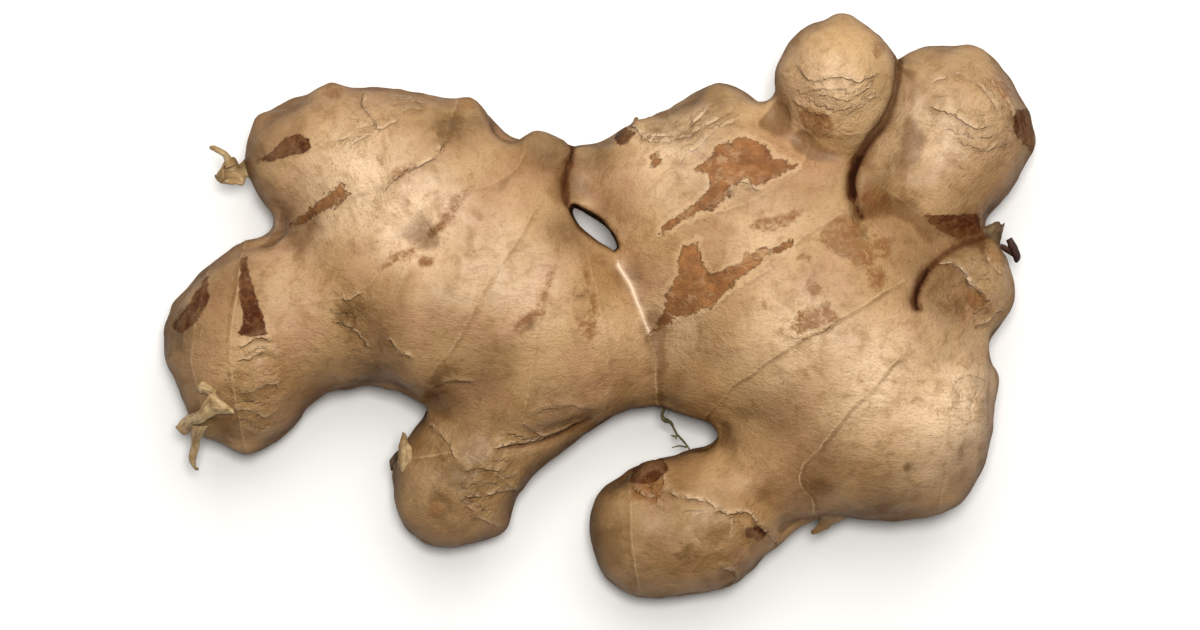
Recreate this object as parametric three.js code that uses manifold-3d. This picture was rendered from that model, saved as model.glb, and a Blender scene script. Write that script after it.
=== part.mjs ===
// Ginger root: one branched rhizome lying on its flattened underside, with the dry
// scale leaves and the one thin root that still cling to it. Millimetres, +Z up,
// origin under the middle of the root, on the surface it lies on.
import * as THREE from 'three';
import { MarchingCubes } from 'three/addons/objects/MarchingCubes.js';
import { mergeVertices } from 'three/addons/utils/BufferGeometryUtils.js';
import Module from 'manifold-3d';

const wasm = await Module();
wasm.setup();

// Driving dimensions.
const cellSize = 3.1;        // grid step of the root's surface
const domainCells = 56;      // grid cells along each side of the sampled cube
const domainMiddle = new THREE.Vector3(0, 0, 18);
const webbing = 1.1;         // how softly one finger runs into the next
const ballSpacing = 1.6;     // distance between the balls that fill out a finger
const restLevel = 1.0;       // height at which the underside is flattened where it rests
const settling = 2;          // passes that even out the sampled surface
const settlingLoss = 0.2;    // what those passes take off it
const leafThickness = 0.5;
const rootWidth = 0.55;
const skinGap = 0.3;         // clearance between the root and what clings to it

// Materials.
const skin = new THREE.MeshStandardMaterial({ color: 0xc39a68, roughness: 0.62, metalness: 0 });
const dryLeaf = new THREE.MeshStandardMaterial({ color: 0xb39a62, roughness: 0.8, metalness: 0 });
const darkLeaf = new THREE.MeshStandardMaterial({ color: 0x4a2c1c, roughness: 0.75, metalness: 0 });
const rootFibre = new THREE.MeshStandardMaterial({ color: 0x6f6a45, roughness: 0.85, metalness: 0 });

// The fingers of the rhizome.
// Each finger is a chain of swellings, x, y, z and radius, from its tip to the body.
// flatness is its height over its width.
const fingers = {
  farLeft: {
    flatness: 0.9,
    swellings: [
      [-61.2, -13.8, 12, 11.4], [-60.8, -6, 13, 14.8], [-54.5, -1, 13.5, 14], [-50, -0.5, 14, 14],
      [-36, 3, 16, 16.5], [-27, 2, 17, 17],
    ],
  },
  upperLeft: {
    flatness: 0.94,
    swellings: [
      [-49.4, 25.6, 15, 11.9], [-43, 25.6, 15.5, 12.9], [-34.5, 22, 16.5, 15], [-28.5, 21.5, 17, 14.3],
      [-19, 13, 17, 14.7], [-10.5, 4.5, 16, 15.5],
    ],
  },
  upperCorner: {
    flatness: 1,
    swellings: [[-22.8, 31.2, 18, 4.1], [-25, 26, 17, 6.5]],
  },
  leftBody: {
    flatness: 0.9,
    swellings: [[-27.5, 1, 17, 17], [-14, 1, 16, 17], [-3.5, -3, 15.5, 14.5],
                [9.5, -9.5, 15, 7.5], [20, -8, 16, 12]],
  },
  leftShoulder: {
    flatness: 1,
    swellings: [[-9.5, 25, 19, 5.3], [-11, 18.5, 18, 6.2], [-12, 9.5, 16, 10.5]],
  },
  lowerLeft: {
    flatness: 0.95,
    swellings: [[-25.4, -31.1, 11.5, 11.5], [-20.6, -23, 12.5, 10.6],
                [-12.6, -13.6, 14, 12.8], [-7, -7, 15, 14.8]],
  },
  rightShoulder: {
    flatness: 0.84,
    swellings: [
      [0, 21.7, 18, 6.2], [8.5, 20.8, 18, 11], [17, 9.5, 18, 14], [27.5, 3, 18, 18], [39.5, -4, 18, 21],
      [48.5, -16, 17, 19],
    ],
  },
  upperRight: {
    flatness: 0.9,
    swellings: [[20.5, 27.3, 17, 11.5], [31, 18.5, 18, 13.5], [39.5, 8, 18, 15.5]],
  },
  brokenEnd: {
    flatness: 1,
    swellings: [[43, -25, 15, 11.5], [56.8, -25.8, 15, 10.6], [58.7, -17, 16, 8.8]],
  },
  roundKnob: {
    flatness: 1,
    swellings: [[41, 39, 24, 10.6], [43, 27, 22, 7], [42, 16.5, 19, 9.5]],
  },
  rightKnob: {
    flatness: 0.96,
    swellings: [[60, 34, 13.5, 12], [63, 30.2, 13, 12.4], [56.5, 20, 14, 11],
                [57, 11.5, 15, 9], [50, 3, 16, 10.5]],
  },
  sideBud: {
    flatness: 1,
    swellings: [[63.5, 3.7, 17, 8], [62.5, -2.5, 16, 6.6], [59, -10, 15, 7.5]],
  },
  bottomFinger: {
    flatness: 0.95,
    swellings: [[9.1, -39.1, 12, 11.7], [17.2, -37.4, 12.3, 12.6],
                [27.5, -30, 13.5, 10.7], [36, -21.5, 15, 13]],
  },
};

// What still clings to the rhizome.
// A dry scale leaf is a strip that runs along a path from where it grips the root.
// facing is the way its flat side looks; widths are at its root, middle and tip.
const scaleLeaves = {
  leaf_upper_left: {
    material: dryLeaf,
    facing: [0.3, 0.5, 1],
    path: [[-59.5, 23.6, 15], [-62.5, 23.6, 15.8], [-64.5, 24.6, 16.8], [-66.8, 27.3, 16.2]],
    widths: [3.6, 5.2, 1.4],
  },
  leaf_far_left: {
    material: dryLeaf,
    facing: [-0.5, -0.6, 1],
    path: [[-61.5, -15.2, 24.5], [-66.5, -19.3, 21.2], [-70.2, -21.2, 17.2],
           [-70.2, -25, 14.2], [-70.6, -28.4, 13]],
    widths: [5.6, 4.6, 1.6],
  },
  leaf_lower_finger: {
    material: dryLeaf,
    facing: [-1, 0.3, 0.6],
    path: [[-31.6, -22.2, 15.5], [-34, -24, 15], [-35.4, -26, 13.6], [-36.2, -28, 12.8]],
    widths: [4.2, 3, 0.9],
  },
  leaf_bottom: {
    material: dryLeaf,
    facing: [-0.4, 0.3, 1],
    path: [[40.5, -35.4, 14], [38.2, -37.3, 13.2], [36.4, -39, 12.6]],
    widths: [4.4, 2.6, 0.9],
  },
  leaf_bud_crown: {
    material: dryLeaf,
    facing: [0.2, -0.6, 1],
    path: [[66.4, 9.2, 18], [67.6, 12, 18.4], [68.6, 14.4, 18]],
    widths: [5, 4.2, 2.6],
  },
  leaf_bud_curl: {
    material: darkLeaf,
    facing: [1, 0.6, 0.5],
    path: [[71.2, 7.4, 17], [72, 9, 17.4], [71.2, 10.8, 18], [70.2, 12, 18.4]],
    widths: [2.6, 2, 1.4],
  },
  leaf_right_shoulder: {
    material: darkLeaf,
    facing: [-0.2, 0.9, 0.5],
    path: [[3.2, 28.6, 19], [4.6, 30.6, 19.4], [6.6, 31.6, 19.8], [9.6, 32.2, 20]],
    widths: [1.8, 2.4, 1.2],
  },
};

// The one thin root left on the underside, with two side hairs.
const thinRootPaths = [
  [[10, -15.2, 9.5], [10.6, -18.4, 9], [11.9, -20.8, 8.6], [12.8, -21.8, 8], [15.3, -24.9, 6.6]],
  [[13, -21.9, 8], [12.5, -22.7, 8.6], [12.3, -23.4, 8.4]],
  [[15.1, -24.6, 6.8], [13.6, -24.2, 6.2], [12, -24.6, 6.4]],
];

// Balls closely spaced along a smooth line through a finger's swellings.
function ballsOf({ flatness, swellings }) {
  const middles = new THREE.CatmullRomCurve3(swellings.map(([x, y, z]) => new THREE.Vector3(x, y, z)));
  const radii = new THREE.SplineCurve(swellings.map(([, , , radius], i) => new THREE.Vector2(i, radius)));
  const steps = Math.ceil(middles.getLength() / ballSpacing);
  return Array.from({ length: steps + 1 }, (_, i) => ({
    middle: middles.getPoint(i / steps),
    radius: radii.getPoint(i / steps).y,
    flatness,
  }));
}

// How far outside a finger a point is, negative inside.
function outsideBy(balls, x, y, z) {
  let nearest = Infinity;
  for (const { middle, radius, flatness } of balls) {
    const distance = Math.hypot(x - middle.x, y - middle.y, (z - middle.z) / flatness) - radius;
    nearest = Math.min(nearest, distance);
  }
  return nearest;
}

// The skin round all the fingers, grown outwards by an amount: one closed surface, with
// soft webs where the fingers meet.
function rhizomeSkin(grownBy) {
  const blob = new MarchingCubes(domainCells, skin, false, false, 30000);
  blob.field.set(closeness);
  blob.isolation = -grownBy;
  blob.update();
  const corners = blob.geometry.getAttribute('position').array.slice(0, blob.count * 3);
  const surface = new THREE.BufferGeometry();
  surface.setAttribute('position', new THREE.BufferAttribute(corners, 3));
  const scale = (domainCells / 2) * cellSize;
  surface.scale(scale, scale, scale).translate(domainMiddle.x, domainMiddle.y, domainMiddle.z);
  return settled(mergeVertices(surface, 1e-3));
}

// The surface with each corner drawn halfway to the middle of its neighbours, some times over.
function settled(surface) {
  const corners = surface.getAttribute('position');
  const neighbours = Array.from({ length: corners.count }, () => new Set());
  for (let i = 0; i < surface.index.count; i += 3) {
    const face = [surface.index.getX(i), surface.index.getX(i + 1), surface.index.getX(i + 2)];
    face.forEach((corner, n) => neighbours[corner].add(face[(n + 1) % 3]).add(face[(n + 2) % 3]));
  }
  for (let pass = 0; pass < settling; pass++) {
    const places = neighbours.map((_, i) => new THREE.Vector3().fromBufferAttribute(corners, i));
    places.forEach((place, i) => {
      const middle = new THREE.Vector3();
      neighbours[i].forEach((j) => middle.addScaledVector(places[j], 1 / neighbours[i].size));
      middle.lerp(place, 0.5);
      corners.setXYZ(i, middle.x, middle.y, middle.z);
    });
  }
  return surface;
}

// At each corner of the grid, how far inside the skin it lies, negative outside.
function sampleCloseness() {
  const chains = Object.values(fingers).map(ballsOf);
  const along = (axis, step) => domainMiddle[axis] + (step - domainCells / 2) * cellSize;
  const samples = new Float32Array(domainCells ** 3);
  for (let k = 0; k < domainCells; k++) {
    for (let j = 0; j < domainCells; j++) {
      for (let i = 0; i < domainCells; i++) {
        const spot = [along('x', i), along('y', j), along('z', k)];
        const nearness = (balls) => Math.exp(-outsideBy(balls, ...spot) / webbing);
        const together = chains.reduce((sum, balls) => sum + nearness(balls), 0);
        samples[i + domainCells * (j + domainCells * k)] = webbing * Math.log(Math.max(together, 1e-30));
      }
    }
  }
  return samples;
}

// Solids.
function solidOf(geometry) {
  const bare = geometry.clone();
  bare.deleteAttribute('normal');
  bare.deleteAttribute('uv');
  const merged = mergeVertices(bare, 1e-3);
  return new wasm.Manifold(new wasm.Mesh({
    numProp: 3,
    vertProperties: merged.getAttribute('position').array,
    triVerts: new Uint32Array(merged.index.array),
  }));
}

function meshOf(name, solid, material) {
  const { vertProperties, triVerts } = solid.getMesh();
  const geometry = new THREE.BufferGeometry();
  geometry.setAttribute('position', new THREE.BufferAttribute(vertProperties, 3));
  geometry.setIndex(new THREE.BufferAttribute(triVerts, 1));
  geometry.computeVertexNormals();
  const mesh = new THREE.Mesh(geometry, material);
  mesh.name = name;
  return mesh;
}

function largestOf(solid) {
  return solid.decompose().sort((a, b) => b.volume() - a.volume())[0];
}

// The see-through gap where the two halves lean apart below their shoulders.
function shoulderGap() {
  const outline = new THREE.Shape();
  outline.moveTo(-5.2, 17.1);
  outline.quadraticCurveTo(-2.6, 16.4, 0.3, 13.4);
  outline.quadraticCurveTo(2.2, 11.6, 2.9, 9.7);
  outline.quadraticCurveTo(-0.8, 10.9, -3.3, 13.5);
  outline.quadraticCurveTo(-5, 15.2, -5.2, 17.1);
  return new THREE.ExtrudeGeometry(outline, { depth: 60, bevelEnabled: false, curveSegments: 5 });
}

function rhizome() {
  const belowRest = new THREE.BoxGeometry(300, 300, 20).translate(0, 0, restLevel - 10);
  return solidOf(rhizomeSkin(settlingLoss)).subtract(solidOf(belowRest)).subtract(solidOf(shoulderGap()));
}

function curveThrough(points) {
  return new THREE.CatmullRomCurve3(points.map((point) => new THREE.Vector3(...point)));
}

// A thin strip bent along its path, as wide as its widths say, cut off at the root's skin.
function scaleLeaf({ path, widths, facing }, skinSolid) {
  const line = curveThrough(path);
  const width = new THREE.SplineCurve(widths.map((w, i) => new THREE.Vector2(i, w)));
  const steps = 4 * (path.length - 1);
  const strip = new THREE.BoxGeometry(1, leafThickness, 1, 1, 1, steps);
  const corners = strip.getAttribute('position');
  for (let i = 0; i < corners.count; i++) {
    const share = corners.getZ(i) + 0.5;
    const side = line.getTangent(share).cross(new THREE.Vector3(...facing)).normalize();
    const up = side.clone().cross(line.getTangent(share));
    const place = line.getPoint(share)
      .addScaledVector(side, -corners.getX(i) * width.getPoint(share).y)
      .addScaledVector(up, corners.getY(i));
    corners.setXYZ(i, place.x, place.y, place.z);
  }
  return largestOf(solidOf(strip).subtract(skinSolid));
}

function thinRoot(skinSolid) {
  const section = new THREE.Shape();
  section.absarc(0, 0, rootWidth / 2, 0, 2 * Math.PI);
  const hairs = thinRootPaths.map((path) => solidOf(new THREE.ExtrudeGeometry(section, {
    extrudePath: curveThrough(path),
    steps: 3 * path.length,
    curveSegments: 3,
  })));
  return largestOf(hairs.reduce((joined, hair) => joined.add(hair)).subtract(skinSolid));
}

const closeness = sampleCloseness();
const skinSolid = solidOf(rhizomeSkin(settlingLoss + skinGap));

const ginger = new THREE.Group();
ginger.add(meshOf('rhizome', rhizome(), skin));
for (const [name, leaf] of Object.entries(scaleLeaves)) {
  ginger.add(meshOf(name, scaleLeaf(leaf, skinSolid), leaf.material));
}
ginger.add(meshOf('thin_root', thinRoot(skinSolid), rootFibre));
const middle = new THREE.Box3().setFromObject(ginger).getCenter(new THREE.Vector3());
ginger.position.set(-middle.x, -middle.y, -restLevel);

export default ginger;
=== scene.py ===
# Ginger root: the papery skin of one branched rhizome, its dry scale leaves and one thin
# root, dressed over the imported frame. Lengths in the lists are millimetres, on a plan
# seen from the camera; everything in Blender is metres.
import math
import bpy
import numpy as np
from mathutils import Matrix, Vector, noise
from mathutils.bvhtree import BVHTree


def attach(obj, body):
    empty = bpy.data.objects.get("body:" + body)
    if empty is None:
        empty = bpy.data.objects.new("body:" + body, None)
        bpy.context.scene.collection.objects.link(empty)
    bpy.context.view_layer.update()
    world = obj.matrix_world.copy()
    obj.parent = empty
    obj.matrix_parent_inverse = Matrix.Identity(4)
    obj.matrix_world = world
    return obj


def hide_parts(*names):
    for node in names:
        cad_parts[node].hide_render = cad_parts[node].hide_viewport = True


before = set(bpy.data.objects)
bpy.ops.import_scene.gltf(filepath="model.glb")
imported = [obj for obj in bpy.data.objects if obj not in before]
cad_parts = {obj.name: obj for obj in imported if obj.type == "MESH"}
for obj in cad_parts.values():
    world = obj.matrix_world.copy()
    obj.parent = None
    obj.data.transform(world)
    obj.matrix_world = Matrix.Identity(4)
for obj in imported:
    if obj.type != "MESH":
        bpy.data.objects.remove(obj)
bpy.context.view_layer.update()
mm = 0.001

view = {
    "height": 700.0,       # of the camera above the plan
    "planLevel": 17.0,     # the plan's height above the floor
    "middle": (0.12, -1.04),
    "width": 206.9,        # of the plan that the camera takes in
    "film": 36.0,
    "nearest": 10.0,       # nothing closer to the camera is drawn
}
mergeDistance = 0.01 * mm


def deselectAll():
    if bpy.context.object and bpy.context.object.mode != 'OBJECT':
        bpy.ops.object.mode_set(mode='OBJECT')
    bpy.ops.object.select_all(action='DESELECT')


def makeActive(obj):
    deselectAll()
    obj.select_set(True)
    bpy.context.view_layer.objects.active = obj


def applyModifier(obj, kind, **settings):
    makeActive(obj)
    modifier = obj.modifiers.new(kind.title(), kind)
    for name, value in settings.items():
        setattr(modifier, name, value)
    bpy.ops.object.modifier_apply(modifier=modifier.name)


def mergeDoubles():
    bpy.ops.mesh.remove_doubles(threshold=mergeDistance)


def faceOutwards():
    bpy.ops.mesh.normals_make_consistent(inside=False)


def onWholeMesh(obj, *steps):
    makeActive(obj)
    bpy.ops.object.mode_set(mode='EDIT')
    bpy.ops.mesh.select_all(action='SELECT')
    for step in steps:
        step()
    bpy.ops.object.mode_set(mode='OBJECT')


def readPlaces(obj):
    flat = np.empty(len(obj.data.vertices) * 3, np.float32)
    obj.data.vertices.foreach_get("co", flat)
    return flat.reshape(-1, 3).astype(float) / mm


def readNormals(obj):
    flat = np.empty(len(obj.data.vertices) * 3, np.float32)
    obj.data.vertex_normals.foreach_get("vector", flat)
    return flat.reshape(-1, 3).astype(float)


def writePlaces(obj, places):
    obj.data.vertices.foreach_set("co", (places * mm).astype(np.float32).ravel())
    obj.data.update()


def writeAttribute(obj, name, values):
    attribute = obj.data.attributes.new(name, 'FLOAT', 'POINT')
    attribute.data.foreach_set("value", values.astype(np.float32))


def smoothStep(low, high, values):
    t = np.clip((values - low) / (high - low), 0, 1)
    return t * t * (3 - 2 * t)


def planOf(places):
    shrink = view["height"] / (view["height"] + view["planLevel"] - places[:, 2])
    middle = np.array(view["middle"])
    return middle + (places[:, :2] - middle) * shrink[:, None]


def noiseAt(places, size, seed=0.0):
    scaled = places / size + seed
    return np.array([noise.noise(Vector(spot)) for spot in scaled])


# Distance of every point to a line of points, which side it lies on, and how far it is
# past the line's ends.
def distanceToLine(points, line):
    line = np.array(line, float)
    best = np.full(len(points), np.inf)
    side = np.zeros(len(points))
    past = np.zeros(len(points))
    for i, (start, end) in enumerate(zip(line[:-1], line[1:])):
        step = end - start
        share = (points - start) @ step / (step @ step)
        nearest = start + np.clip(share, 0, 1)[:, None] * step
        away = points - nearest
        distance = np.linalg.norm(away, axis=1)
        closer = distance < best
        best[closer] = distance[closer]
        side[closer] = np.sign(step[0] * away[:, 1] - step[1] * away[:, 0])[closer]
        over = np.zeros(len(points))
        length = np.linalg.norm(step)
        if i == 0:
            over = np.maximum(over, -share * length)
        if i == len(line) - 2:
            over = np.maximum(over, (share - 1) * length)
        past[closer] = over[closer]
    return best, side, past


# Signed distance on the plan to an outline, positive inside.
def insideOutline(plan, outline):
    outline = np.array(outline, float)
    closed = np.vstack([outline, outline[:1]])
    distance, _, _ = distanceToLine(plan, closed)
    inside = np.zeros(len(plan), bool)
    for start, end in zip(closed[:-1], closed[1:]):
        crosses = (start[1] > plan[:, 1]) != (end[1] > plan[:, 1])
        rise = end[1] - start[1]
        if rise == 0:
            continue
        reach = start[0] + (plan[:, 1] - start[1]) * (end[0] - start[0]) / rise
        inside ^= crosses & (plan[:, 0] < reach)
    return np.where(inside, distance, -distance)


# The place of a plan point at a height, as the camera sees it.
def placeInView(x, y, z):
    nearer = (view["height"] + view["planLevel"] - z) / view["height"]
    middle = view["middle"]
    return Vector((middle[0] + (x - middle[0]) * nearer, middle[1] + (y - middle[1]) * nearer, z))


# A grid whose points go where placeFor(u, v) says, u and v from 0 to 1.
def shapedGrid(across, along, placeFor):
    bpy.ops.mesh.primitive_grid_add(x_subdivisions=across, y_subdivisions=along, size=1)
    grid = bpy.context.object
    shares = [(vertex.co.x + 0.5, vertex.co.y + 0.5) for vertex in grid.data.vertices]
    for vertex, (u, v) in zip(grid.data.vertices, shares):
        vertex.co = placeFor(u, v) * mm
    return grid, np.array(shares)


def alongCurve(curve, share):
    spot = share * (len(curve) - 1)
    start = min(int(spot), len(curve) - 2)
    return curve[start].lerp(curve[start + 1], spot - start)


def joinPieces(pieces, name):
    deselectAll()
    for piece in pieces:
        piece.select_set(True)
    bpy.context.view_layer.objects.active = pieces[0]
    bpy.ops.object.join()
    pieces[0].name = name
    pieces[0].data.name = name
    makeActive(pieces[0])
    bpy.ops.object.transform_apply(location=True, rotation=True, scale=True)
    return pieces[0]


# A smoother line through listed points.
def curveThrough(points, perStretch=5):
    points = [Vector((*point, 0)) if len(point) == 2 else Vector(point) for point in points]
    padded = [2 * points[0] - points[1], *points, 2 * points[-1] - points[-2]]
    line = []
    for a, b, c, d in zip(padded, padded[1:], padded[2:], padded[3:]):
        for i in range(perStretch):
            t = i / perStretch
            line.append(0.5 * (2 * b + (c - a) * t + (2 * a - 5 * b + 4 * c - d) * t * t
                               + (3 * b - a - 3 * c + d) * t ** 3))
    return [*line, points[-1]]


def addCamera():
    x, y = view["middle"]
    bpy.ops.object.camera_add(location=(x * mm, y * mm, (view["height"] + view["planLevel"]) * mm))
    camera = bpy.context.object
    camera.data.sensor_width = view["film"]
    camera.data.lens = view["film"] * view["height"] / view["width"]
    camera.data.clip_start = view["nearest"] * mm
    bpy.context.scene.camera = camera


lighting = {   # in metres
    "floorSize": 6.0,
    "floorColour": (0.87, 0.87, 0.86, 1),
    "floorRoughness": 0.75,
    "aim": (0, 0, 0.015),
    "front": {"place": (0.02, 0.06, 0.82), "size": 0.16, "watts": 4.2, "colour": (1.0, 0.98, 0.95)},
    "key": {"place": (0.06, 0.5, 0.7), "size": 0.8, "watts": 4.8, "colour": (1.0, 0.98, 0.96)},
    "world": 0.10,
}


def addLight(name, light):
    bpy.ops.object.light_add(type='AREA', location=light["place"])
    lamp = bpy.context.object
    lamp.name = name
    lamp.data.shape = 'SQUARE'
    lamp.data.size = light["size"]
    lamp.data.energy = light["watts"]
    lamp.data.color = light["colour"]
    towards = Vector(lighting["aim"]) - lamp.location
    lamp.rotation_euler = towards.to_track_quat('-Z', 'Y').to_euler()


# A value in a node tree that Python's arithmetic works on.
class Amount:
    def __init__(self, paint, socket):
        self.paint = paint
        self.socket = socket

    def __add__(self, other):
        return self.paint.maths('ADD', self, other)

    def __sub__(self, other):
        return self.paint.maths('SUBTRACT', self, other)

    def __rsub__(self, other):
        return self.paint.maths('SUBTRACT', other, self)

    def __mul__(self, other):
        return self.paint.maths('MULTIPLY', self, other)

    def __truediv__(self, other):
        return self.paint.maths('DIVIDE', self, other)

    __radd__ = __add__
    __rmul__ = __mul__


# One material, built up node by node.
class Paint:
    def __init__(self, name):
        self.material = bpy.data.materials.new(name)
        self.material.use_nodes = True
        self.tree = self.material.node_tree
        self.shader = self.tree.nodes["Principled BSDF"]
        self.places = self.node("TexCoord", {}, {}).outputs["Object"]

    def node(self, kind, settings, inputs):
        made = self.tree.nodes.new("ShaderNode" + kind)
        for name, value in settings.items():
            setattr(made, name, value)
        for name, value in inputs.items():
            self.feed(made.inputs[name], value)
        return made

    def feed(self, socket, value):
        if isinstance(value, Amount):
            value = value.socket
        if isinstance(value, bpy.types.NodeSocket):
            self.tree.links.new(value, socket)
        else:
            socket.default_value = value

    def maths(self, operation, first, second=0.0):
        made = self.node("Math", {"operation": operation}, {0: first, 1: second})
        return Amount(self, made.outputs[0])

    def attribute(self, name):
        made = self.node("Attribute", {"attribute_name": name}, {})
        return Amount(self, made.outputs["Fac"])

    # noise with one swell per size, in millimetres, drawn out by stretch along turned axes
    def noise(self, size, detail=3.0, roughness=0.5, distortion=0.0, turn=0.0, stretch=(1, 1, 1),
              seed=0.0):
        scale = [1 / (size * mm * drawn) for drawn in stretch]
        turned = self.node("Mapping", {"vector_type": 'TEXTURE'}, {
            "Vector": self.places, "Rotation": (0, 0, math.radians(turn)),
            "Location": (seed, seed, seed)})
        scaled = self.node("VectorMath", {"operation": 'MULTIPLY'}, {0: turned.outputs[0], 1: scale})
        return self.noiseOver(scaled.outputs[0], detail, roughness, distortion)

    def noiseOver(self, vector, detail, roughness, distortion):
        made = self.node("TexNoise", {}, {
            "Vector": vector, "Scale": 1.0, "Detail": detail, "Roughness": roughness,
            "Distortion": distortion})
        return Amount(self, made.outputs["Fac"])

    # fibres of a sheet or a root, running the way its attribute "along" does
    def fibres(self, width, length):
        sheetApart = 7.3   # no two sheets show the same fibres
        made = self.node("CombineXYZ", {}, {
            "X": self.attribute("along") / length, "Y": self.attribute("across") / width,
            "Z": self.attribute("sheet") * sheetApart})
        return self.noiseOver(made.outputs[0], detail=3.0, roughness=0.6, distortion=0.3)

    def between(self, value, low, high, start=0.0, end=1.0):
        made = self.node("MapRange", {"interpolation_type": 'SMOOTHSTEP'}, {
            "Value": value, "From Min": low, "From Max": high, "To Min": start, "To Max": end})
        return Amount(self, made.outputs["Result"])

    def mix(self, share, first, second):
        made = self.node("Mix", {"data_type": 'RGBA'}, {0: share, 6: first, 7: second})
        return made.outputs[2]

    def finish(self, colour, roughness, height, bumpDistance):
        bump = self.node("Bump", {}, {"Height": height, "Distance": bumpDistance, "Strength": 1.0})
        self.feed(self.shader.inputs["Normal"], bump.outputs[0])
        self.feed(self.shader.inputs["Base Color"], colour)
        self.feed(self.shader.inputs["Roughness"], roughness)
        return self.material


# A screen colour, 0 to 255, as the shader wants it.
def rgb(red, green, blue):
    def linear(level):
        level = level / 255
        return level / 12.92 if level <= 0.04045 else ((level + 0.055) / 1.055) ** 2.4
    return (linear(red), linear(green), linear(blue), 1.0)


print("stage 1: camera and light")
deselectAll()
addCamera()
bpy.ops.mesh.primitive_plane_add(size=lighting["floorSize"])
floor = bpy.context.object
floor.name = "floor"
floorPaint = Paint("paleFloor")
floorPaint.shader.inputs["Base Color"].default_value = lighting["floorColour"]
floorPaint.shader.inputs["Roughness"].default_value = lighting["floorRoughness"]
floor.data.materials.append(floorPaint.material)
addLight("frontLight", lighting["front"])
addLight("keyLight", lighting["key"])
world = bpy.data.worlds.new("studio")
world.use_nodes = True
world.node_tree.nodes["Background"].inputs["Color"].default_value = (1, 1, 1, 1)
world.node_tree.nodes["Background"].inputs["Strength"].default_value = lighting["world"]
bpy.context.scene.world = world
bpy.context.scene.view_settings.view_transform = 'Standard'
bpy.context.scene.view_settings.look = 'Medium High Contrast'


build = {
    "voxel": 0.62,
    "evening": 16,         # smoothing passes that round off the facets of the frame's solid
    "carvedVoxel": 0.65,
    "carvedSmoothing": 2,
    "smoothing": 0.5,      # how far a point moves in each pass
    "shrinkage": 0.12,     # what the smoothing takes off
    "valleyFade": 2.0,     # past the end of its line
    "gap": {"left": [(-5.9, 18.8), (-4.4, 15.4), (-2.5, 13.1), (0.2, 11.0), (4.0, 9.0)],
            "right": [(-5.9, 18.8), (-2.6, 17.0), (0.3, 15.3), (2.6, 12.6), (4.0, 9.0)], "depth": 60},
}

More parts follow.
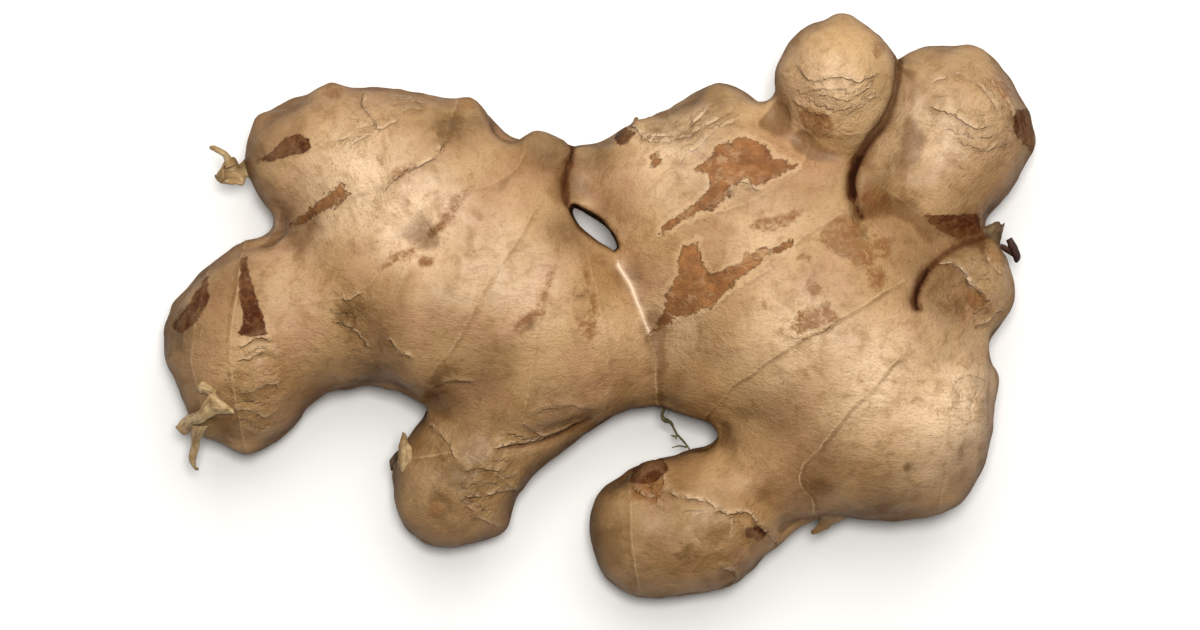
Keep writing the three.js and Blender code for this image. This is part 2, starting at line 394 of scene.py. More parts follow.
# Bumps and corners: x, y and height of the middle, how wide, how much out.
swellings = {
    "roundKnobPoint": (42.0, 50.0, 24, 2.4, 0.9),
    "roundKnobBud": (49.3, 46.4, 24, 3.0, -0.4),
    "roundKnobLeft": (30.6, 39.0, 23, 4.0, 0.8),
    "rightKnobLeftCorner": (53.8, 45.0, 17, 3.5, 0.4),
    "rightKnobRightCorner": (65.8, 45.2, 16, 3.6, 0.8),
    "rightKnobSlope": (71.2, 36.9, 16, 4.0, -0.8),
    "rightKnobSide": (74.8, 29.0, 16, 3.0, 0.8),
    "rightKnobFoot": (67.4, 15.7, 15, 2.6, -1.4),
    "lobeTopPoint": (-46.4, 38.4, 17, 2.6, 0.9),
    "lobeTopLeft": (-53.5, 35.0, 17, 4.5, -1.7),
    "lobeLeftCorner": (-58.6, 32.8, 16, 2.2, 0.9),
    "lobeTopHollow": (-41.5, 38.5, 17, 3.5, -0.5),
    "lobeTopRidge": (-30.5, 37.4, 18, 4.0, 0.3),
    "lobeCorner": (-22.3, 35.8, 19, 2.2, 1.2),
    "lobeNotch": (-15.6, 30.0, 18, 3.2, -4.2),
    "lobeLeftEdge": (-61.5, 27.0, 15, 3.0, 0.6),
    "lobeFoot": (-56.8, 14.0, 15, 2.6, -1.5),
    "leftNub": (-9.0, 30.2, 21, 3.4, 1.3),
    "leftNubLeft": (-12.2, 30.0, 19, 2.2, 1.3),
    "rightNub": (-2.0, 27.8, 20, 3.2, 0.7),
    "nubNotch": (-4.5, 30.0, 20, 1.3, -1.6),
    "rightNubSlope": (0.4, 29.8, 20, 2.8, -1.2),
    "shoulderPoint": (20.0, 38.5, 20, 2.4, 1.2),
    "shoulderSlope": (15.0, 36.5, 19, 4.5, -1.9),
    "shoulderFall": (28.5, 36.0, 18, 3.5, -1.7),
    "shoulderStep": (7.0, 32.0, 20, 2.2, 0.8),
    "budSideUpper": (70.5, 8.0, 15, 3.0, 0.9),
    "budSideLower": (70.5, 0.5, 14, 3.6, 1.1),
    "kneeNotch": (67.0, -7.0, 16, 2.5, -2.4),
    "endCornerTop": (68.3, -12.0, 17, 3.0, 1.0),
    "endSide": (66.8, -25.0, 15, 6.0, -1.0),
    "endCornerBottom": (64.5, -33.0, 15, 4.5, -0.4),
    "endFlat": (63.0, -19.0, 28, 7.0, 1.5),
    "lobeFlat": (-44.0, 24.0, 27, 8.0, 0.7),
    "rightKnobTop": (58.0, 34.0, 24, 7.0, 0.5),
    "endUnder": (53.5, -36.5, 12, 7.0, -0.7),
    "pocket": (19.0, -21.0, 13, 3.2, -2.2),
    "pocketTip": (21.0, -23.2, 13, 3.0, -3.2),
    "pocketEnd": (22.4, -21.8, 13, 2.0, -2.0),
    "bottomFingerSide": (28.6, -43.3, 14, 4.0, -0.6),
    "bottomFingerKnuckle": (24.2, -47.0, 14, 2.6, 0.1),
    "bottomFingerTop": (8.4, -27.0, 16, 2.6, 1.5),
    "bottomFingerStep": (3.2, -29.4, 15, 2.4, -0.9),
    "bottomFingerTip": (-1.5, -36.5, 13, 6.0, -0.5),
    "bottomFingerFoot": (-1.0, -44.0, 12, 3.5, -0.8),
    "lowerFingerCorner": (-16.6, -38.0, 13, 2.2, 0.9),
    "lowerFingerFlat": (-14.2, -33.5, 13, 3.0, -0.6),
    "lowerFingerUnder": (-20.5, -40.0, 12, 3.0, -0.5),
    "lowerFingerSide": (-35.0, -24.0, 14, 3.0, 0.4),
    "lowerFingerTip": (-35.4, -31.0, 13, 4.0, -0.6),
    "lowerFingerRoot": (-29.5, -16.6, 13, 2.8, -1.7),
    "bayRoof": (-33.0, -14.3, 13, 3.0, -0.6),
    "bayCorner": (-28.0, -15.4, 13, 2.0, -2.2),
    "farLeftCornerA": (-68.5, -21.5, 14, 3.0, 0.8),
    "farLeftCornerB": (-61.5, -24.8, 13, 3.0, 1.0),
    "farLeftUnder": (-54.0, -22.3, 12, 4.0, -0.6),
    "farLeftTip": (-75.0, -9.0, 13, 4.0, 0.4),
    "farLeftEnd": (-73.7, -13.5, 13, 4.0, -0.8),
    "farLeftShoulder": (-68.8, 7.6, 14, 5.0, -1.0),
}

# Valleys between the fingers, deep creases and soft folds: line, width and depth, and for the
# deepest ones how strong the painted shade at their bottom is.
valleys = {
    "nubCrevice": {"line": [(-4.5, 30), (-4.8, 26.6), (-5.7, 23.2), (-5.9, 20.6), (-5.4, 18.0)],
                   "width": 0.5, "depth": 1.3, "dark": 0.8},
    "knobSeam": {"line": [(51.8, 43), (51.4, 38), (50.0, 32.5), (47.2, 29.5), (45.2, 27.2), (43.4, 25)],
                 "width": 0.55, "depth": 1.7, "dark": 0.6},
    "knobSeamLower": {"line": [(49.2, 31.2), (47.0, 28.8), (45.2, 26.2)], "width": 0.6, "depth": 2.0,
                      "dark": 0.8},
    "knobHollow": {"line": [(45.0, 26.2), (43.7, 22.6), (43.9, 19.4)], "width": 0.9, "depth": 2.8,
                   "dark": 0.95},
    "knobHollowEnd": {"line": [(43.9, 20.2), (44.2, 18.0), (45.2, 15.8)], "width": 0.5, "depth": 1.4,
                      "dark": 0.8},
    "budCrevice": {"line": [(67.5, 12.6), (62.5, 11), (58.6, 8.6), (55.6, 5.2)], "width": 0.5,
                   "depth": 1.2, "dark": 0.6},
    "budHollow": {"line": [(56.6, 6.6), (55.0, 3.6), (54.5, 1.4), (54.9, 0.0)], "width": 0.6,
                  "depth": 1.6, "dark": 0.9},
    "slit": {"line": [(3.5, 7.7), (6.0, 2.1), (8.4, -3.9)], "width": 0.6, "depth": 0.3},
    "halvesValley": {"line": [(2.0, 9), (6.5, 1.5), (9.5, -4.5), (10.5, -16)], "width": 4.5,
                     "depth": 0.6},
    "farLeftNeck": {"line": [(-56, 13.5), (-47, 4), (-42, -5), (-37, -14)], "width": 5, "depth": 1.3},
    "lobeNeck": {"line": [(-46, 2.5), (-38, 8), (-29, 13)], "width": 5, "depth": 0.7},
    "lobeSaddle": {"line": [(-24, 33), (-21, 26), (-16, 22)], "width": 4, "depth": 0.9},
    "lowerFingerNeck": {"line": [(-29, -16), (-22, -20.5), (-11, -22.5), (-2, -19.5)], "width": 3.0,
                        "depth": 1.0},
    "lowerFingerFold": {"line": [(-17.5, -24.2), (-11, -23), (-6.5, -21.3), (-2, -18.6)], "width": 0.55,
                        "depth": 0.7, "dark": 0.25},
    "knobSeamFoot": {"line": [(52, 42), (51.6, 38), (50.4, 32.5), (47.8, 29), (46, 25)], "width": 2.0,
                     "depth": 1.1},
    "roundKnobNeck": {"line": [(29, 33), (34, 29.5), (39, 26.5), (44, 26)], "width": 2.6, "depth": 1.2},
    "rightKnobNeck": {"line": [(44.5, 17), (52, 17.5), (58, 14), (67, 11.5)], "width": 3.2, "depth": 1.4},
    "bottomFingerNeck": {"line": [(20.5, -22.5), (24, -28), (28, -33), (33, -38)], "width": 3.4,
                         "depth": 1.1},
    "endStep": {"line": [(61, -8), (62, -14), (63, -22), (62, -31)], "width": 3.5, "depth": 0.3},
}


def copyOfNode(nodeName, pieceName):
    piece = bpy.data.objects.new(pieceName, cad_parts[nodeName].data.copy())
    bpy.context.scene.collection.objects.link(piece)
    piece.data.materials.clear()
    for attribute in list(piece.data.attributes):
        if not attribute.is_required and not attribute.is_internal:
            piece.data.attributes.remove(attribute)
    onWholeMesh(piece, mergeDoubles)
    return piece


# Where points of the plan lie on the upper side of a piece.
class UpperSide:
    def __init__(self, piece):
        self.tree = BVHTree.FromObject(piece, bpy.context.evaluated_depsgraph_get())
        self.eye = Vector((*view["middle"], view["height"] + view["planLevel"])) * mm

    def at(self, point):
        aim = Vector((point[0], point[1], view["planLevel"])) * mm - self.eye
        hit = self.tree.ray_cast(self.eye, aim.normalized())[0]
        if hit is None:
            hit = self.tree.find_nearest(Vector((point[0], point[1], view["planLevel"])) * mm)[0]
        return np.array(hit) / mm


def shapeFingers(piece):
    upper = UpperSide(piece)
    places = readPlaces(piece)
    normals = readNormals(piece)
    out = np.full(len(places), build["shrinkage"])
    for x, y, z, width, amount in swellings.values():
        away = np.linalg.norm(places - (x, y, z), axis=1)
        out += amount * np.exp(-(away / width) ** 2)
    sunk = np.zeros(len(places))
    for valley in valleys.values():
        line = [upper.at(point) for point in curveThrough(valley["line"])]
        distance, _, past = distanceToLine(places, line)
        share = np.exp(-(distance / valley["width"]) ** 2) * smoothStep(build["valleyFade"], 0, past)
        sunk = np.maximum(sunk, valley["depth"] * share)
    writePlaces(piece, places + normals * (out - sunk)[:, None])


# Opens the narrow gap between the two halves with an eye-shaped cutter.
def cutGap(piece):
    gap = build["gap"]
    outline = [*curveThrough(gap["left"])[:-1], *reversed(curveThrough(gap["right"])[1:])]
    bpy.ops.mesh.primitive_cylinder_add(vertices=len(outline), depth=gap["depth"] * mm)
    cutter = bpy.context.object
    for vertex in cutter.data.vertices:
        turn = math.atan2(vertex.co.x, vertex.co.y) / (2 * math.pi) * len(outline)
        spot = outline[round(turn) % len(outline)]
        vertex.co = (spot.x * mm, spot.y * mm, vertex.co.z)
    onWholeMesh(cutter, faceOutwards)
    applyModifier(piece, 'BOOLEAN', operation='DIFFERENCE', solver='EXACT', object=cutter)
    bpy.data.objects.remove(cutter)


print("stage 2: the rhizome's shape")
rhizome = copyOfNode("rhizome", "ginger_skin")
applyModifier(rhizome, 'REMESH', mode='VOXEL', voxel_size=build["voxel"] * mm)
applyModifier(rhizome, 'SMOOTH', factor=build["smoothing"], iterations=build["evening"])
shapeFingers(rhizome)
cutGap(rhizome)
applyModifier(rhizome, 'REMESH', mode='VOXEL', voxel_size=build["carvedVoxel"] * mm)
applyModifier(rhizome, 'SMOOTH', factor=build["smoothing"], iterations=build["carvedSmoothing"])
print("faces of the skin:", len(rhizome.data.polygons))


# Rings go right round a finger, on the plan lines given. strength is how clear they are.
rings = {
    "farLeftInner": {"line": [(-61, 11.5), (-62.5, 3.5), (-63.4, -3.5), (-63.4, -12.5), (-62.5, -18),
                              (-61, -24)], "strength": 0.8},
    "farLeftTip": {"line": [(-67, 8), (-69.5, -1), (-70, -8), (-69.5, -12.5), (-68, -19)],
                   "strength": 0.5},
    "lobeOuter": {"line": [(-62, 25.3), (-57.5, 26), (-51.5, 27.2), (-46, 29.3), (-41.5, 30.2), (-38, 31),
                           (-34.5, 37)], "strength": 0.25},
    "lobeInner": {"line": [(-56, 13), (-53, 14.5), (-48.5, 17), (-43, 19.2), (-37.5, 21.2), (-34, 23.5),
                           (-28.5, 26), (-26.3, 30), (-24.5, 36)], "strength": 0.5},
    "leftFirst": {"line": [(-47, 1.5), (-40.5, 3.5), (-37, 7.5), (-31.5, 11), (-27, 15.2), (-23, 20),
                           (-19, 21.2), (-14, 24.8), (-12.5, 29)], "strength": 0.3},
    "leftSecond": {"line": [(-30.5, -16.5), (-28.5, -11), (-25.5, -7), (-22.5, -1.5), (-20.5, 2.5),
                            (-17, 7.5), (-13, 13.5), (-10, 18.5)], "strength": 0.6},
    "leftThird": {"line": [(-13, -18.5), (-11.5, -10), (-11, -5), (-10, -0.5), (-9, 3.5), (-7.5, 9)],
                  "strength": 0.3},
    "leftFourth": {"line": [(0.5, -19), (1.5, -13.5), (1.5, -8), (0.5, -2), (-0.5, 3.5), (-2, 10)],
                   "strength": 0.25},
    "join": {"line": [(10.5, -18), (9.6, -12.5), (10, -8.5), (8.5, -4.5)], "strength": 0.9},
    "rightFirst": {"line": [(9.5, 13), (13.5, 14.5), (19, 16.4), (26, 18.5), (30, 20.5), (34.5, 24.5),
                            (36, 28)], "strength": 0.4},
    "rightSecond": {"line": [(8.5, -4.6), (12.5, -2.6), (17, -0.9), (22.5, 2.5), (29, 7), (33, 11),
                             (37.5, 14), (42, 16.5)], "strength": 0.6},
    "rightThird": {"line": [(17.5, -20.5), (19, -18), (23, -13.5), (27, -10.5), (32.5, -6.8), (37, -4.4),
                            (40.5, -2.5), (43.5, -0.5), (48.5, 2.5), (52.5, 4.5)], "strength": 0.9},
    "rightFourth": {"line": [(38, -39), (37, -33.5), (34.7, -30), (35.5, -26.5), (39.5, -22.5),
                             (42.5, -18), (45.5, -15), (49.5, -11), (52.5, -7.5)], "strength": 0.9},
    "rightKnob": {"line": [(50.5, 20), (55, 16.5), (57.5, 15), (65, 12)], "strength": 0.6},
    "roundKnob": {"line": [(31, 32.5), (34, 31.2), (38.5, 30.2), (43, 30), (46.5, 31)], "strength": 0.5},
    "lowerFinger": {"line": [(-36, -26), (-30, -25.5), (-24, -25), (-19, -27.5), (-14, -31)],
                    "strength": 0.6},
    "bottomFingerTip": {"line": [(5, -29), (5.4, -34.5), (5.8, -41), (7, -49)], "strength": 0.6},
    "endBlock": {"line": [(60, -7), (60.8, -14), (60.8, -22), (58.5, -36)], "strength": 0.35},
}

# Sharp folds, cracks and lifted edges of the skin on the upper side. A lip stands up
# beside the crease.
creases = {
    "bottomFingerFlap": {"line": [(5.8, -31), (8.5, -32.6), (11, -31.5), (13.5, -32.5), (18.5, -33.5),
                                  (22, -35.5), (25.5, -35.5), (28, -38), (30.5, -40.5)], "width": 0.55,
                         "depth": 0.55, "lip": 0.35},
    "lowerFingerFold": {"line": [(-17.5, -24.2), (-11, -23), (-6.5, -21.3), (-2, -19)], "width": 0.8,
                        "depth": 0.8, "lip": 0.45},
    "lowerFingerCrack": {"line": [(-23.5, -32.6), (-19.5, -32.4), (-16.5, -31.5), (-14, -31.3)],
                         "width": 0.55, "depth": 0.6, "lip": 0.3},
    "bodyEdgeFold": {"line": [(-13, -20.3), (-9.5, -22), (-6.5, -20.7), (-3, -19.3)], "width": 0.6,
                     "depth": 0.5, "lip": 0.3},
    "farLeftFoldA": {"line": [(-62, -6.8), (-60.4, -6.4), (-58.6, -5.2), (-57.0, -5.4)], "width": 0.6,
                     "depth": 0.45, "lip": 0.4},
    "farLeftFoldB": {"line": [(-62, -9.0), (-60, -8.9), (-58.2, -7.6), (-56.6, -8.3)], "width": 0.6,
                     "depth": 0.4, "lip": 0.4},
    "farLeftFoldC": {"line": [(-61.4, -14.6), (-59.2, -14.4), (-57.2, -13.0), (-55.6, -13.4)],
                     "width": 0.7, "depth": 0.45, "lip": 0.45},
    "farLeftFoldD": {"line": [(-62.6, -17.6), (-60.2, -17.4), (-58, -18.6), (-56.2, -18.2)], "width": 0.6,
                     "depth": 0.35, "lip": 0.35},
    "farLeftFoldE": {"line": [(-61.6, -20.6), (-59.2, -21.6), (-57, -21.2)], "width": 0.6, "depth": 0.3,
                     "lip": 0.3},
    "lobeCrease": {"line": [(-41.3, 37), (-40.3, 34.1), (-38, 31.2)], "width": 0.55, "depth": 0.6,
                   "lip": 0.35},
    "lobeFoldA": {"line": [(-44.7, 28.9), (-42.6, 30.3), (-40.4, 31), (-37.8, 31.1), (-34.7, 32.4)],
                  "width": 0.6, "depth": 0.4, "lip": 0.3},
    "lobeFoldB": {"line": [(-44, 27.2), (-42.4, 28.4), (-40.2, 29.4)], "width": 0.5, "depth": 0.35,
                  "lip": 0.3},
    "lobeFlap": {"line": [(-36.5, 20.8), (-34.4, 22.6), (-32.6, 23.7), (-28.8, 25.5), (-26.6, 28.4)],
                 "width": 0.55, "depth": 0.5, "lip": 0.35},
    "lobeTopFold": {"line": [(-35.2, 36.2), (-33, 36.4), (-30.9, 35.6)], "width": 0.5, "depth": 0.4,
                    "lip": 0.3},
    "lobeSmallFold": {"line": [(-33.8, 33.8), (-30.9, 34.3)], "width": 0.5, "depth": 0.3, "lip": 0.25},
    "neckFoldA": {"line": [(-45.8, 3), (-43.7, 1.3), (-41.4, 2.1)], "width": 0.55, "depth": 0.4,
                  "lip": 0.3},
    "neckFoldB": {"line": [(-45, -2.6), (-42.6, -3.6), (-40.4, -6.4)], "width": 0.6, "depth": 0.45,
                  "lip": 0.25},
    "bodyCrack": {"line": [(-36.2, -5.6), (-34.7, -7.3), (-32.9, -8.1)], "width": 0.45, "depth": 0.7,
                  "lip": 0.25},
    "ringFoldA": {"line": [(-28.5, -13.5), (-25.5, -12.7), (-22, -12.9)], "width": 0.6, "depth": 0.4,
                  "lip": 0.35},
    "ringFoldB": {"line": [(-11.5, -18.2), (-6.8, -16.8), (-1.6, -17.3)], "width": 0.6, "depth": 0.2,
                  "lip": 0.3},
    "roundKnobFoldA": {"line": [(34, 41.4), (35.6, 39.6), (38.4, 39.2), (41.1, 39.9), (43.2, 39.2),
                                (45.3, 38.9), (47.9, 40.4)], "width": 0.6, "depth": 0.5, "lip": 0.5},
    "roundKnobFoldB": {"line": [(38.1, 36.6), (42.4, 35.8), (45.3, 37), (47.2, 38.8)], "width": 0.6,
                       "depth": 0.45, "lip": 0.45},
    "roundKnobFoldC": {"line": [(43, 33.5), (45.8, 35.2), (47.7, 36.3)], "width": 0.5, "depth": 0.4,
                       "lip": 0.35},
    "roundKnobFoldD": {"line": [(33.5, 35.5), (36, 33.8), (39.5, 33)], "width": 0.5, "depth": 0.4,
                       "lip": 0.3},
    "rightKnobFoldA": {"line": [(57.5, 34.3), (60.5, 33.7), (62.5, 32.3), (64.3, 31), (66.8, 31.3)],
                       "width": 0.6, "depth": 0.5, "lip": 0.5},
    "rightKnobFoldB": {"line": [(58.2, 39.2), (61.3, 40.2), (64.8, 38.8), (67.2, 36.6), (68.4, 33.8)],
                       "width": 0.7, "depth": 0.45, "lip": 0.4},
    "rightKnobFoldC": {"line": [(62, 28.8), (66.5, 27.3), (71, 28.8)], "width": 0.6, "depth": 0.4,
                       "lip": 0.35},
    "rightKnobFoldD": {"line": [(67, 39.5), (69.5, 36.5), (71.5, 33), (72, 29)], "width": 0.55,
                       "depth": 0.4, "lip": 0.35},
    "lowerFingerWrinkleA": {"line": [(-29.5, -20), (-26.8, -22.8), (-25, -26.3)], "width": 0.6,
                            "depth": 0.35, "lip": 0.3},
    "lowerFingerWrinkleB": {"line": [(-22.5, -28.2), (-18.8, -27.5), (-15, -29.4)], "width": 0.6,
                            "depth": 0.4, "lip": 0.35},
    "lowerFingerWrinkleC": {"line": [(-24, -33), (-20.6, -36.4), (-17.4, -37.6)], "width": 0.6,
                            "depth": 0.3, "lip": 0.25},
    "bottomFingerCrescent": {"line": [(20.8, -44.5), (22.7, -45), (23.2, -46.4), (21.7, -47.6)],
                             "width": 0.5, "depth": 0.5, "lip": 0.35},
    "bottomFingerEdge": {"line": [(10, -27.6), (10.8, -30), (9.8, -32.2)], "width": 0.55, "depth": 0.4,
                         "lip": 0.35},
    "bottomFingerOval": {"line": [(15.8, -36.7), (18.4, -35.1), (21.6, -35.6), (22.3, -38.1),
                                  (19.8, -40.6), (17.3, -39.9), (16.1, -38.1)], "width": 0.6,
                         "depth": 0.22, "lip": 0.25},
    "scarEdgeA": {"line": [(5.3, 31.7), (7.5, 29.8), (11.7, 29.7), (14.4, 30.6), (17.4, 32.9),
                           (19.1, 34.8)], "width": 0.5, "depth": 0.7, "lip": 0.5},
    "scarEdgeB": {"line": [(5.8, 30), (9.9, 28.7), (13.9, 29.2), (16.8, 30.6), (19.6, 31.9),
                           (23.1, 34.2)], "width": 0.5, "depth": 0.45, "lip": 0.4},
    "scarEdgeC": {"line": [(14.2, 25.3), (16.1, 27.2), (17.9, 28.4), (20.3, 30.6), (25.5, 33)],
                  "width": 0.5, "depth": 0.35, "lip": 0.35},
    "peelFlake": {"line": [(22.5, 19.5), (23.5, 21.3), (25.3, 21.8), (27.2, 20.6)], "width": 0.5,
                  "depth": 0.4, "lip": 0.6},
    "flakyEdge": {"line": [(31.5, -4), (33.5, -5), (36, -5.2), (38.5, -4), (41.5, -1.8)], "width": 0.45,
                  "depth": 0.4, "lip": 0.4},
    "budScaleA": {"line": [(59.1, 7.6), (61.8, 7), (64.3, 4), (66.6, 1.2)], "width": 0.7, "depth": 0.7,
                  "lip": 0.5},
    "budScaleB": {"line": [(66.3, 10.2), (67.4, 7.9), (68.9, 6)], "width": 0.6, "depth": 0.5,
                  "lip": 0.35},
    "budScaleC": {"line": [(64.8, -3), (67.7, -2.2), (69.3, -0.4)], "width": 0.6, "depth": 0.5,
                  "lip": 0.35},
    "endBlockLip": {"line": [(61, -16.5), (61.3, -13.3), (62.2, -12.1), (64.8, -11.7), (67.2, -12.8)],
                    "width": 0.55, "depth": 0.2, "lip": 0.25},
    "endBlockLipB": {"line": [(61.3, -16.8), (62.7, -19), (66.6, -19.5)], "width": 0.5, "depth": 0.16,
                     "lip": 0.2},
}

# Patches on the upper side, by outline. Red ones are where the papery skin has come away,
# tan ones are bruises and brown ones are what is left of dead scales. The soft-edged blotches
# after them are partly staining and partly painted shade.
redPatches = {
    "lobeStrip": [(-53.8, 14.3), (-50, 17.2), (-47.5, 19.7), (-44.5, 21.6), (-43, 19.7), (-45, 17.5),
                  (-47.5, 17), (-50.5, 15)],
    "shoulder": [(20, 28), (25, 29.5), (28, 28.5), (30, 26), (34, 25), (30.5, 22.5), (27.5, 21.3),
                 (25, 23), (22.5, 20.8), (21.3, 18), (17.5, 17.2), (14, 15), (10.5, 13), (13.5, 16.5),
                 (17.5, 19), (19, 21), (19, 23), (16, 23.8), (18.5, 25)],
    "triangle": [(14, 10.5), (17, 12), (18, 8), (19.5, 6), (23, 7), (27, 10.5), (33, 12), (33, 11),
                 (29, 9.5), (25.5, 6), (22, 2.5), (17, -0.4), (12.5, -2.3), (8.7, -4.4), (11, -0.5),
                 (12, 3.5), (14, 7)],
    "scarSpot": [(8.6, 26.2), (9.8, 27.2), (10.6, 25.5), (9.8, 23.8), (8.6, 24.4)],
}
tanPatches = {
    "leftFirst": [(-25.5, 19.6), (-23.5, 20.8), (-21.4, 21.2), (-21.6, 20.2), (-24, 17.7), (-25.5, 15.4),
                  (-29, 12.2), (-30.2, 12.6), (-28.6, 14.2), (-26.4, 17)],
    "leftFirstFaint": [(-37.8, 6.8), (-36.5, 8.9), (-34, 10), (-31.4, 10.7), (-32.4, 8.6), (-35, 7.4)],
    "leftFirstFaintB": [(-31.4, 8.2), (-29.8, 9.4), (-28.4, 8.8), (-28.6, 7.4), (-30.4, 7)],
    "leftThird": [(-15, -3.5), (-12.5, -0.6), (-10.4, 0), (-9, 5.4), (-8.2, 7.6), (-8.4, 3.6),
                  (-9.7, -1.7), (-12, -3.2), (-14, -4.6)],
    "leftFourth": [(-4.4, -1.6), (-2.2, -1.4), (-1.2, 3.2), (-0.4, -0.6), (-0.4, -4.5), (-1.5, -5.8),
                   (-3.3, -4)],
    "leftFourthUpper": [(-2.2, 8.4), (-1.6, 6.6), (-1.8, 3.6), (-2.8, 5.6)],
    "lobeFlap": [(-36.5, 21.6), (-35.5, 23.6), (-33.6, 24.8), (-30.5, 24.8), (-32.5, 23.6), (-35, 22)],
    "flaky": [(31.5, -3.6), (33, -2.6), (34.6, -0.6), (37.6, 0.4), (39, 2.4), (40, -0.4), (42.4, -0.6),
              (40.6, -2.2), (38.4, -2.6), (36.6, -4.2), (34.5, -4.6)],
    "flakyUpper": [(35.4, 3.4), (36.2, 5.6), (37.4, 5), (38.6, 3), (37, 2.4)],
    "mottledRight": [(46.5, 6.5), (48.4, 7.8), (50, 5.6), (48.6, 2.4), (47, 3.6)],
    "mottled": [(38, 13.6), (40.5, 15.4), (43.5, 16.4), (45.4, 14.2), (44.6, 12.2), (47.8, 11.4),
                (47.6, 7.6), (44.5, 7.0), (42.4, 9.4), (38.8, 9.8)],
    "mottledB": [(46.8, 13.4), (50.2, 12.6), (50.4, 8.8), (47, 9.2)],
    "mottledC": [(33.4, 9.4), (35.4, 10.2), (36.4, 8.2), (34.4, 7.4)],
    "bottomFinger": [(6, -30), (8, -29.4), (11.8, -30), (11, -33.2), (8.4, -34), (5.4, -33)],
    "roundKnobFoot": [(33.6, 35.4), (37, 34.8), (40.2, 33.4), (40.2, 30), (37.5, 29.8), (34.8, 31.8)],
    "creviceFoot": [(45.4, 21.8), (49, 21.4), (50.6, 17.5), (46.6, 15.6), (45.2, 18.5)],
    "rightKnobTop": [(67, 40), (70, 39.2), (71.5, 36.5), (69, 36.2)],
    "lobeTip": [(-47.6, 37.2), (-46.4, 39.4), (-43.8, 37.6), (-44.8, 36.2)],
    "lobeCorner": [(-24, 35), (-22.3, 36.8), (-20.6, 34.8), (-22.3, 33.9)],
    "budSpot": [(62.5, 3.3), (65, 4.2), (67.6, 0.8), (66.8, -1), (64, 1)],
    "budCrown": [(66.4, 10.6), (69.5, 10.5), (70.2, 7.2), (67.6, 7.6)],
    "roundKnobBud": [(47, 45.8), (49.6, 45.8), (49.6, 43.6), (47.6, 43.6)],
    "lowerFingerBruise": [(-29.8, -34), (-28.2, -33.2), (-26.6, -34.2), (-27.4, -36), (-29.4, -36)],
    "speckle": [(27.5, 1), (28.6, 2), (29.4, 1), (28.6, 0.2)],
    "ringEdge": [(25.5, 14.2), (28, 15.6), (32, 16.4), (36.5, 17.8), (33, 15), (28.5, 13.4)],
}
brownPatches = {
    "lobeLens": [(-58.8, 25.8), (-56, 27.6), (-54.5, 29.6), (-52, 30.3), (-49.8, 29.8), (-50, 27.6),
                 (-53, 26.4), (-56.5, 25.3)],
    "farLeftBand": [(-61.2, 10.5), (-59.5, 3.5), (-58, -1), (-57.4, -4.6), (-62, -5), (-61.5, -1),
                    (-62.5, 4)],
    "farLeftTip": [(-74, -3), (-70.5, 1.7), (-67.3, 6), (-67.3, 1.5), (-69.5, -2.5), (-72, -4)],
    "rightKnobFoot": [(56, 16.2), (65.2, 16.6), (66.2, 13), (62, 12), (57.5, 14)],
    "rightKnobSide": [(71.5, 34.5), (74, 34.5), (75.5, 30), (75, 26.5), (71.5, 30)],
    "bottomFingerTop": [(5.4, -27.6), (7.6, -25.4), (11.2, -25.6), (12, -27.8), (10.4, -29.4), (7, -30.4),
                        (5, -30)],
    "bottomFingerEye": [(25.2, -37.9), (27.6, -37.5), (29.4, -38.7), (27.4, -39.9), (25.4, -39.5)],
    "scarDark": [(2.5, 29.6), (4, 31.4), (6.4, 30.6), (5.4, 28.8), (3.4, 28.4)],
}
# Soft darker blotches: partly staining of the skin, partly painted shade at the feet and edges of the
# swellings.
stainsAndShade = {   # x, y, width, strength
    "leftFirst": (-35, 8.7, 2.6, 0.22),
    "leftFirstB": (-31, 7.3, 2.0, 0.2),
    "lobeOlive": (-26, 31.0, 3.4, 0.6),
    "lobeOliveB": (-21.5, 33, 2.4, 0.4),
    "lobeEdge": (-60, 27.5, 3.2, 0.7),
    "farLeftTip": (-72.5, -1.5, 3.0, 0.7),
    "farLeftEdge": (-73.8, -5.5, 3.4, 0.8),
    "farLeftShade": (-60, 2.5, 3.5, 0.35),
    "farLeftFoot": (-65, -20.5, 4.0, 0.6),
    "neck": (-43, -1.5, 5.0, 0.45),
    "neckLow": (-39.5, -10, 5.0, 0.4),
    "leftSecondFoot": (-27.5, -12, 3.6, 0.55),
    "leftThird": (-12, -2.5, 2.6, 0.4),
    "leftFourth": (-2.8, 2.5, 2.8, 0.35),
    "nubTop": (-7.5, 28.5, 4.0, 0.5),
    "rightNubTop": (0.5, 27.5, 3.0, 0.35),
    "slitSide": (11, 5, 2.6, 0.25),
    "crackEdge": (4.5, 14, 3.0, 0.3),
    "mottled": (43.5, 11.5, 5.0, 0.5),
    "speckled": (36, 2.5, 5.0, 0.3),
    "kneeFoot": (62, 13, 3.6, 0.6),
    "budGrey": (61.3, 0.3, 3.2, 0.5),
    "budSpot": (65.2, 1.6, 2.2, 0.8),
    "budShade": (65.5, 7.5, 3.0, 0.4),
    "roundKnobFoot": (37, 32, 3.0, 0.4),
    "rightKnobSide": (72.8, 32, 4.0, 0.45),
    "endPatch": (64, -15, 3.4, 0.35),
    "endEye": (52.7, -27.5, 1.2, 0.6),
    "fourthFoot": (36.5, -32, 3.4, 0.5),
    "lowerFinger": (-25, -29.5, 6.5, 0.45),
    "lowerFingerBruise": (-27.4, -33.8, 2.6, 0.9),
    "lowerFingerFold": (-19, -26.5, 4.0, 0.4),
    "bottomFingerTip": (1.2, -41, 4.0, 1.0),
    "bottomFingerTipB": (2.0, -31.5, 2.2, 0.55),
    "bottomFingerSpot": (14.8, -42.6, 2.8, 0.6),
    "bottomFingerEye": (27, -39.2, 2.6, 0.8),
    "bottomFingerOval": (19, -37.8, 2.8, 0.45),
    "bottomFingerKnuckle": (22.5, -46.5, 2.6, 0.5),
}
